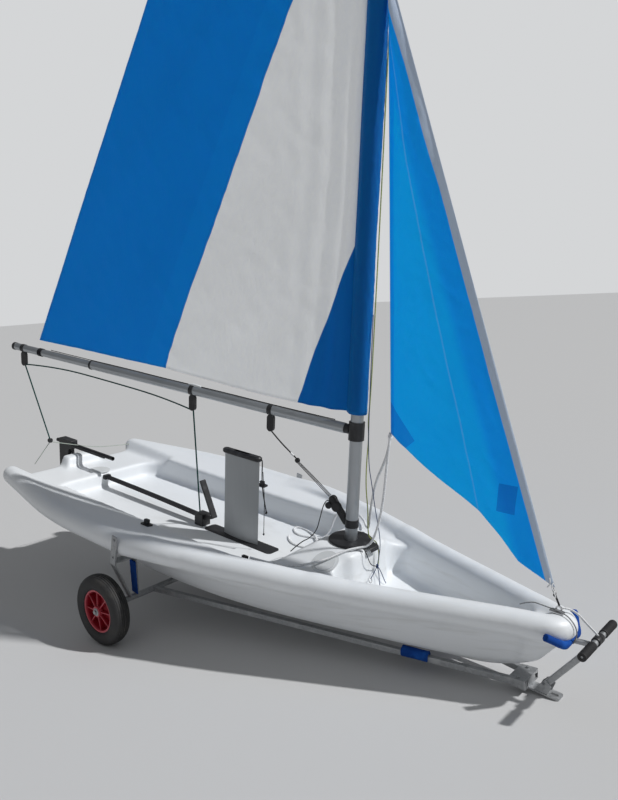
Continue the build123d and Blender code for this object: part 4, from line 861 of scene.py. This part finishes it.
for name, points, look in (
    ("blue_line", BLUE_LINE, blue_rope), ("blue_line_tail_long", TAIL_LONG, blue_rope),
    ("blue_line_tail_short", TAIL_SHORT, blue_rope),
    ("blue_line_shackle_part", SHACKLE_PART, blue_rope), ("black_loop", BLACK_LOOP, black_rope),
):
    boat_rope(name, points, 0.0020, look)


def knot(name, centre, size, look, body):
    """A small overhand knot, wound over itself."""
    turns = []
    for step in range(15):
        angle = step * math.tau * 2 / 14
        swell = 1 + 0.45 * math.cos(angle * 1.5)
        turns.append(Vector(centre) + size * Vector((
            0.55 * math.sin(angle * 1.5), swell * math.cos(angle), swell * math.sin(angle),
        )))
    return rope(name, turns, size * 0.42, look, body)[0]


knot("blue_line_knot", boat(*KNOT), 0.0062, blue_rope, "boat")
shackle = fresh(
    bpy.ops.mesh.primitive_torus_add, "shackle_ring",
    major_radius=0.011, minor_radius=0.0022, major_segments=28, minor_segments=8,
)
hanging = Matrix.Rotation(math.radians(75), 4, "Y")
shackle.data.transform(Matrix.Translation(boat(2.504, -0.034, 0.318)) @ hanging)
bpy.ops.object.shade_smooth()
settle(shackle, steel_look, "boat", "stainless_fitting")

# Jib sheets: one white rope flecked with grey, tied by its middle to the clew. One part leads
# down past the console to the starboard fairlead, the other behind the mast to port, where its
# tail lies in loose turns on the cockpit's floor.
SHEET_RADIUS = 0.0060
SHEET_STARBOARD = (
    (2.547, -0.004, 1.062), (2.548, -0.012, 0.990), (2.546, -0.016, 0.925), (2.541, -0.020, 0.714),
    (2.515, -0.026, 0.560), (2.486, -0.036, 0.495), (2.452, -0.075, 0.486), (2.420, -0.130, 0.482),
    (2.367, -0.225, 0.443), (2.269, -0.330, 0.412), (2.180, -0.385, 0.416), (2.068, -0.428, 0.428),
)
SHEET_PORT = (
    (2.545, 0.004, 1.062), (2.535, 0.010, 0.985), (2.505, 0.020, 0.900), (2.459, 0.034, 0.807),
    (2.430, 0.052, 0.699), (2.405, 0.075, 0.600), (2.380, 0.110, 0.525), (2.345, 0.150, 0.490),
    (2.300, 0.210, 0.470), (2.240, 0.290, 0.426), (2.150, 0.390, 0.422), (2.068, 0.428, 0.428),
)
SHEET_TAIL = (
    (2.030, 0.420, 0.425), (1.985, 0.395, 0.424), (1.965, 0.372, 0.380), (1.955, 0.345, 0.300),
    (1.930, 0.322, 0.258), (1.870, 0.290, 0.2555), (1.784, 0.262, 0.2555), (1.722, 0.300, 0.2555),
    (1.700, 0.345, 0.2555), (1.745, 0.362, 0.2555), (1.830, 0.340, 0.2555), (1.905, 0.290, 0.268),
    (1.955, 0.230, 0.2555), (1.945, 0.165, 0.2555), (1.880, 0.140, 0.2555), (1.800, 0.165, 0.2555),
    (1.760, 0.215, 0.2555),
)
for name, points, far_end, lay in (
    ("starboard", SHEET_STARBOARD, "object", "hanging"),
    ("port", SHEET_PORT, "object", "hanging"),
    ("tail", SHEET_TAIL, "bare", "loose"),
):
    loose_cord(f"jib_sheet_{name}", points, SHEET_RADIUS, white_rope, "boat")
knot("clew_knot", boat(2.548, -0.002, 1.052), 0.0105, white_rope, "boat")

# Small lines: a shock cord and a thin line on the daggerboard's head, the lashings and swivel at
# the jib's tack, the painter from the bow fitting to the handle bar, and a grey line at the stem.
SHOCK_CORD = (
    (1.726, 0.000, 0.752), (1.746, -0.010, 0.757), (1.757, -0.018, 0.735), (1.759, -0.022, 0.690),
    (1.766, -0.026, 0.620), (1.786, -0.030, 0.540), (1.806, -0.032, 0.482),
)
THIN_LINE = (
    (1.759, -0.014, 0.690), (1.770, -0.018, 0.620), (1.782, -0.022, 0.540), (1.786, -0.026, 0.440),
    (1.788, -0.028, 0.352),
)
hanging_pieces = [
    loose_cord(
        "board_shock_cord", SHOCK_CORD, 0.0032, black_rope, "daggerboard",
    ),
    loose_cord("board_thin_line", THIN_LINE, 0.0018, black_rope, "daggerboard"),
    knot("shock_cord_knot", boat(1.806, -0.032, 0.476), 0.0050, black_rope, "daggerboard"),
    knot("thin_line_knot", boat(1.788, -0.028, 0.346), 0.0040, black_rope, "daggerboard"),
]
# What hangs from the board's head moves with the board, each piece with a mesh of its own.
upwards = boat(0, 0, 1) - boat(0, 0, 0)
for piece in hanging_pieces:
    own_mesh(piece)

LASHING_UPPER = (
    (3.366, -0.003, 0.612), (3.374, -0.012, 0.602), (3.372, -0.010, 0.584), (3.362, -0.007, 0.572),
)
LASHING_MIDDLE = (
    (3.386, 0.006, 0.600), (3.378, -0.010, 0.586), (3.388, -0.012, 0.570), (3.396, -0.006, 0.558),
    (3.394, 0.004, 0.545),
)
LASHING_LOWER = (
    (3.392, -0.008, 0.560), (3.400, -0.011, 0.548), (3.402, -0.006, 0.536), (3.396, 0.008, 0.532),
)
lashings = {"upper": LASHING_UPPER, "middle": LASHING_MIDDLE, "lower": LASHING_LOWER}
for name, points in lashings.items():
    boat_rope(f"tack_lashing_{name}", points, 0.0026, white_rope)
knot("tack_swivel", boat(3.394, 0, 0.548), 0.0062, black_rope, "boat")
PAINTER = (
    (3.424, 0.010, 0.494), (3.446, 0.030, 0.492), (3.478, 0.050, 0.474), (3.508, 0.056, 0.448),
    (3.540, 0.044, 0.434), (3.568, 0.020, 0.434), (3.588, 0.000, 0.433),
)
boat_rope("painter", PAINTER, 0.0045, white_rope)
grey_rope = rope_look("grey_line", (0.34, 0.35, 0.36), (0.10, 0.10, 0.11), 0.6)
BOW_LOOP = (
    (3.250, 0.000, 0.452), (3.300, -0.006, 0.486), (3.350, -0.010, 0.488), (3.395, -0.008, 0.486),
    (3.430, -0.012, 0.487), (3.470, -0.016, 0.478), (3.504, -0.018, 0.445), (3.511, -0.018, 0.408),
    (3.498, -0.016, 0.372),
)
boat_rope("bow_line", BOW_LOOP, 0.0026, grey_rope)

# Outhaul: a thin dark line laid along the top of the boom, past a small cleat near its middle.
# The black lip of the mast's collar hangs over the console's front edge.
BOOM_H, BOOM_RISE, OUTHAUL_UP = 1.036, 0.061, 0.0285
outhaul = []
for a in (0.12, 0.45, 0.8, 1.15, 1.5, 1.8, 2.1):
    sway = 0.002 * math.sin(a * 9)
    outhaul.append(rig(a * 0.998, BOOM_H + a * BOOM_RISE + OUTHAUL_UP + sway))
rope("outhaul", outhaul, 0.0022, black_rope, "rig")
CLEAT_LONG, CLEAT_WIDE, CLEAT_TALL = 0.085, 0.020, 0.016
cleat = fresh(bpy.ops.mesh.primitive_cube_add, "boom_cleat", size=1)
cleat.data.transform(Matrix.Diagonal((CLEAT_LONG, CLEAT_WIDE, CLEAT_TALL, 1)))
bpy.ops.object.mode_set(mode="EDIT")
bpy.ops.mesh.subdivide(number_cuts=3)
build = bmesh.from_edit_mesh(cleat.data)
for corner in build.verts:
    along_cleat = abs(corner.co.x) / (CLEAT_LONG / 2)
    corner.co.z *= 1 - 0.55 * along_cleat ** 2 if corner.co.z > 0 else 1
    corner.co.y *= 1 - 0.35 * along_cleat ** 2
bmesh.update_edit_mesh(cleat.data)
bpy.ops.object.mode_set(mode="OBJECT")
soft = cleat.modifiers.new("soft", "SUBSURF")
soft.levels = soft.render_levels = 2
apply_all(cleat)
bpy.ops.object.shade_smooth()
boom_run = (rig(2, 1.158) - rig(1, 1.097)).normalized()
sideways = upwards.cross(boom_run).normalized()
axes = Matrix((boom_run, sideways, boom_run.cross(sideways))).transposed().to_4x4()
cleat.data.transform(Matrix.Translation(rig(0.985, 1.0965 + 0.028)) @ axes)
settle(cleat, lid_look, "rig", "black_plastic")

grid = bpy.ops.mesh.primitive_grid_add
lip = fresh(grid, "collar_lip", x_subdivisions=16, y_subdivisions=18, size=1)
LIP_X, LIP_Z, LIP_BEND, LIP_REACH = 2.450, 0.4775, 0.046, 0.060
for vertex in lip.data.vertices:
    run, across = vertex.co.x + 0.5, vertex.co.y * 2
    half = 0.042 - 0.010 * run
    reach = run * LIP_REACH
    x = LIP_X + min(reach, LIP_BEND) + 0.002 * max(0, reach - LIP_BEND)
    drop = max(0.0, reach - 0.040)
    z = LIP_Z + 0.0045 * math.cos(min(reach / LIP_BEND, 1) * math.pi / 2) - drop
    vertex.co = boat(x - 0.012 * (across ** 2) * (1 - run), 0.006 + across * half, z)
thicken(lip, 0.004, -1)
soften(lip, 0.0012)
bpy.ops.object.shade_smooth_by_angle(angle=math.radians(50))
settle(lip, nylon_look, "boat", "black_plastic")

# Trolley: bars of hot-dip galvanised steel, dull and spangled, with clouds of white zinc bloom
# and a few rust freckles. Bolts with hexagon heads hold its foot, its nose and its uprights.
zinc_look = Look("galvanised_steel", (0.42, 0.43, 0.44), 0.46, 0.75)
where = zinc_look.place()
spangle = zinc_look.node("TexVoronoi", {}, {"Vector": where, "Scale": 120.0}, 1)
flakes = spangle.part("X")
bloom = where.noise(16.0, 5)
zinc_color = zinc_look.mix(flakes * 0.6, (0.34, 0.35, 0.36), (0.52, 0.53, 0.54))
zinc_color = zinc_look.mix(bloom.ramp(0.50, 0.75) * 0.6, zinc_color, (0.60, 0.61, 0.61))
rust = where.noise(55.0, 6, 0.7).ramp(0.66, 0.74) * 0.5
zinc_look.paint(rust, zinc_color, (0.20, 0.10, 0.05))
zinc_look.put("Roughness", 0.36 + flakes * 0.16 + bloom * 0.15)
zinc_look.bump(flakes * 0.3 + bloom, 0.0005, 0.4)
dress(
    zinc_look,
    "gunwale_upright_port", "gunwale_upright_starboard", "handle_bar", "handle_post",
    "trolley_axle", "trolley_foot_plate", "trolley_nose", "trolley_rail_port",
    "trolley_rail_starboard", "snubber_strut",
)


def bolt(name, centre, facing, size):
    """A hexagon head on a round washer."""
    cylinder = bpy.ops.mesh.primitive_cylinder_add
    above = (0, 0, size * 0.75)
    piece = fresh(cylinder, name, vertices=6, radius=size, depth=size * 0.9, location=above)
    bpy.ops.object.mode_set(mode="EDIT")
    bpy.ops.mesh.bevel(offset=size * 0.12, segments=2)
    bpy.ops.mesh.select_all(action="DESELECT")
    cylinder(vertices=24, radius=size * 1.45, depth=size * 0.3, location=(0, 0, size * 0.15))
    bpy.ops.object.mode_set(mode="OBJECT")
    bpy.ops.object.transform_apply(location=True)
    bpy.ops.object.shade_smooth_by_angle(angle=math.radians(30))
    aim(piece, centre, facing)
    settle(piece, zinc_look, "boat", "galvanised_steel")


AXLE_X, WHEEL_R, WHEEL_Y = 1.349 - ORIGIN_X, 0.186, 0.765
LEAN = math.radians(14)
SIDES = ((-1, "starboard"), (1, "port"))
OUTER_FACE = 0.7232


def upright(side, out, height, forward=0.0):
    """A place in the plane of an upright: out from the middle, up along it, forward across it."""
    return Vector((
        AXLE_X + height * math.sin(LEAN) + forward * math.cos(LEAN),
        side * out,
        WHEEL_R + height * math.cos(LEAN) - forward * math.sin(LEAN),
    ))


for side, side_name in SIDES:
    for name, centre, facing, size in (
        ("upright_bolt_top", upright(side, OUTER_FACE, 0.383), (0, side, 0), 0.0065),
        ("upright_bolt_middle", upright(side, OUTER_FACE, 0.285), (0, side, 0), 0.0055),
        ("foot_bolt", (1.662, side * 0.0285, 0.058), (0, side, 0), 0.0065),
        ("nose_bolt", (1.560, side * 0.050, 0.0700), (0, 0, 1), 0.0065),
    ):
        bolt(f"{name}_{side_name}", centre, facing, size)

# Wheels: a black rubber tyre with ribs moulded round its tread, on a rim of red plastic whose
# outer faces carry painted sunlight, with a steel washer on its hub. The three turn together.
def lathe(name, outline, centre, facing, steps, look, body, slot, *nodes):
    """A closed outline of (along, radius) points, spun round an axis through centre."""
    piece = fresh(bpy.ops.mesh.primitive_circle_add, name, vertices=len(outline), radius=0.1)
    bpy.ops.object.mode_set(mode="EDIT")
    build = bmesh.from_edit_mesh(piece.data)
    build.verts.ensure_lookup_table()
    for vertex, (reach, radius) in zip(build.verts, outline):
        vertex.co = (radius, 0, reach)
    bmesh.update_edit_mesh(piece.data)
    bpy.ops.mesh.select_all(action="SELECT")
    bpy.ops.mesh.spin(steps=steps, angle=math.tau, center=(0, 0, 0), axis=(0, 0, 1))
    bpy.ops.mesh.select_all(action="SELECT")
    bpy.ops.mesh.remove_doubles(threshold=0.00005)
    bpy.ops.mesh.normals_make_consistent(inside=False)
    bpy.ops.object.mode_set(mode="OBJECT")
    bpy.ops.object.shade_smooth_by_angle(angle=math.radians(35))
    aim(piece, centre, facing)
    settle(piece, look, body, slot, *nodes)


TYRE_HALF = (
    (0.0000, 0.1858), (0.0040, 0.1856), (0.0052, 0.1820), (0.0078, 0.1820), (0.0090, 0.1850),
    (0.0150, 0.1843), (0.0162, 0.1808), (0.0188, 0.1806), (0.0200, 0.1828), (0.0262, 0.1806),
    (0.0274, 0.1778), (0.0296, 0.1770), (0.0310, 0.1782), (0.0350, 0.1758), (0.0405, 0.1690),
    (0.0445, 0.1590), (0.0460, 0.1470), (0.0458, 0.1350), (0.0435, 0.1250), (0.0415, 0.1215),
    (0.0425, 0.1190), (0.0400, 0.1150), (0.0350, 0.1122),
)
tyre_outline = TYRE_HALF + tuple((-reach, radius) for reach, radius in reversed(TYRE_HALF[1:]))
tyre_look = Look("tyre_rubber", (0.022, 0.022, 0.023), 0.75)
where = tyre_look.place()
dust = where.noise(14.0, 6, 0.65).ramp(0.42, 0.75)
grit = where.noise(380.0, 2)
tyre_look.paint(dust * 0.55, (0.020, 0.020, 0.021), (0.085, 0.080, 0.072))
tyre_look.put("Roughness", 0.62 + dust * 0.25)
tyre_look.bump(grit, 0.0006, 0.5)
rim_look = Look("red_rim", (0.36, 0.006, 0.020), 0.36, Coat_Weight=0.2, Coat_Roughness=0.3)
where = rim_look.place()
outward = abs(where.part("Y"))
# Painted light: the rim's outer faces are a lighter pink, for the sunlight falling on them.
outer_face_painted_light = outward.ramp(0.785, 0.797)
haze = where.noise(24.0, 4)
rim_color = rim_look.mix(outer_face_painted_light * 0.75, (0.30, 0.004, 0.016), (0.62, 0.10, 0.13))
rim_look.paint(haze * 0.3, rim_color, (0.16, 0.004, 0.010))
rim_look.put("Roughness", 0.30 + haze * 0.25)
rim_look.bump(where.noise(300.0, 2), 0.0003, 0.3)
dress(rim_look, "rim_starboard", "rim_port")
HUB_WASHER = (
    (0.0, 0.0105), (0.0, 0.0200), (0.0022, 0.0205), (0.0036, 0.0185), (0.0040, 0.0130),
    (0.0050, 0.0105),
)
for side, side_name in SIDES:
    hub = (AXLE_X, side * WHEEL_Y, WHEEL_R)
    wheel = f"wheel_{side_name}"
    lathe(
        f"tyre_{side_name}_treaded", tyre_outline, hub, (0, side, 0), 96, tyre_look, wheel,
        "tyre_rubber", f"tyre_{side_name}",
    )
    face = (AXLE_X, side * (WHEEL_Y + 0.0422), WHEEL_R)
    lathe(
        f"hub_washer_{side_name}", HUB_WASHER, face, (0, side, 0), 40, zinc_look, wheel,
        "galvanised_steel",
    )

# Grips of soft black rubber, pushed on the handle bar and moulded with rings for the hand, and
# a black bracket that clamps the bar on its post.
RINGS, RING_PITCH, GROOVE_R, RING_R = 13, 0.0079, 0.0168, 0.0188
grip_outline = [(0.0, 0.0132), (0.0, 0.0180), (0.002, 0.0190), (0.006, 0.0190)]
for ring in range(RINGS):
    start = 0.009 + ring * RING_PITCH
    grip_outline += [(start, GROOVE_R), (start + 0.0018, RING_R)]
    grip_outline += [(start + 0.0044, RING_R), (start + 0.0062, GROOVE_R)]
grip_outline += [(0.1120, 0.0188), (0.1160, 0.0182), (0.1180, 0.0150)]
grip_outline += [(0.1180, 0.0060), (0.1150, 0.0050), (0.1150, 0.0132)]
BAR_X, BAR_Z = 1.883, 0.303
grip_look = Look("grip_rubber", (0.016, 0.016, 0.017), 0.7)
where = grip_look.place()
palm = where.noise(60.0, 4)
grip_look.paint(palm, (0.012, 0.012, 0.013), (0.034, 0.034, 0.036))
grip_look.put("Roughness", 0.55 + palm * 0.3)
grip_look.bump(where.noise(500.0, 2), 0.0003, 0.5)
for side, side_name in SIDES:
    inner_end = (BAR_X, side * 0.060, BAR_Z)
    lathe(
        f"grip_{side_name}_ringed", grip_outline, inner_end, (0, side, 0), 40, grip_look, "boat",
        "grip_rubber", f"handle_grip_{side_name}",
    )
BRACKET_HALF = (
    (-0.028, 0.0134), (-0.028, 0.0185), (-0.026, 0.0195), (-0.006, 0.0195), (-0.004, 0.0175),
)
bracket = BRACKET_HALF + tuple((-reach, radius) for reach, radius in reversed(BRACKET_HALF))
lathe("bar_bracket", bracket, (BAR_X, 0, BAR_Z), (0, 1, 0), 40, nylon_look, "boat", "black_plastic")

# Pads of closed-cell blue foam: split tubes taped round the rails near the bow, the bent
# snubber that the stem rests in, and a strip down each upright's inner bar.
FOAM_VOXEL = 0.004
foam_look = Look("blue_foam", (0.006, 0.055, 0.28), 0.9, Specular_IOR_Level=0.2)
where = foam_look.place()
cells = where.noise(520.0, 2)
rubbed = where.noise(18.0, 5).ramp(0.45, 0.75)
foam_look.paint(rubbed, (0.005, 0.050, 0.26), (0.012, 0.10, 0.42))
foam_look.bump(cells + rubbed * 0.4, 0.0010, 0.6)


def foam(node_name, name, slim=1.0, short=1.0):
    """A node's solid remeshed, softened at its rims and dented a little, as worn foam is."""
    piece = copy_of(node_name, name)
    remesh = piece.modifiers.new("remesh", "REMESH")
    remesh.mode = "VOXEL"
    remesh.voxel_size = FOAM_VOXEL
    relax = piece.modifiers.new("relax", "SMOOTH")
    relax.iterations = 6
    apply_all(piece)
    by_x = sorted((vertex.co.copy() for vertex in piece.data.vertices), key=lambda co: co.x)
    share = len(by_x) // 12
    stern, bow = (sum(part, Vector()) / share for part in (by_x[:share], by_x[-share:]))
    centre, run = (stern + bow) / 2, (bow - stern).normalized()
    lift = (boat(0, 0, 1 - slim) - boat(0, 0, 0)) * 0.035
    for vertex in piece.data.vertices:
        forth = (vertex.co - centre).dot(run)
        around = vertex.co - centre - run * forth
        vertex.co = centre + run * forth * short + around * slim + lift
        dent = noise.noise(vertex.co * 22) * 0.0016 + noise.noise(vertex.co * 70) * 0.0006
        vertex.co += vertex.normal * (dent - 0.0006)
    bpy.ops.object.shade_smooth()
    settle(piece, foam_look, "boat", "blue_foam", node_name)


for side, side_name in SIDES:
    foam(f"rail_pad_{side_name}", f"rail_foam_{side_name}", slim=0.76, short=0.72)
foam("bow_snubber", "snubber_foam")
STRIP_OUT, STRIP_LEAN, STRIP_GAP = 0.5455, 0.0350, 0.0165
STRIP_START, STRIP_LONG, STRIP_WIDE = 0.022, 0.205, 0.046
for side, side_name in SIDES:
    strip = fresh(grid, f"upright_foam_{side_name}", x_subdivisions=24, y_subdivisions=6, size=1)
    for vertex in strip.data.vertices:
        share, across = vertex.co.x + 0.5, vertex.co.y
        out = STRIP_OUT + STRIP_LEAN * share + STRIP_GAP
        bow_out = 0.0016 * noise.noise(Vector((share * 9, across * 3, side)))
        height = STRIP_START + STRIP_LONG * share
        vertex.co = upright(side, out + bow_out, height, across * STRIP_WIDE)
    thicken(strip, 0.007)
    soften(strip, 0.0024, 3)
    bpy.ops.object.shade_smooth()
    settle(strip, foam_look, "boat", "blue_foam")
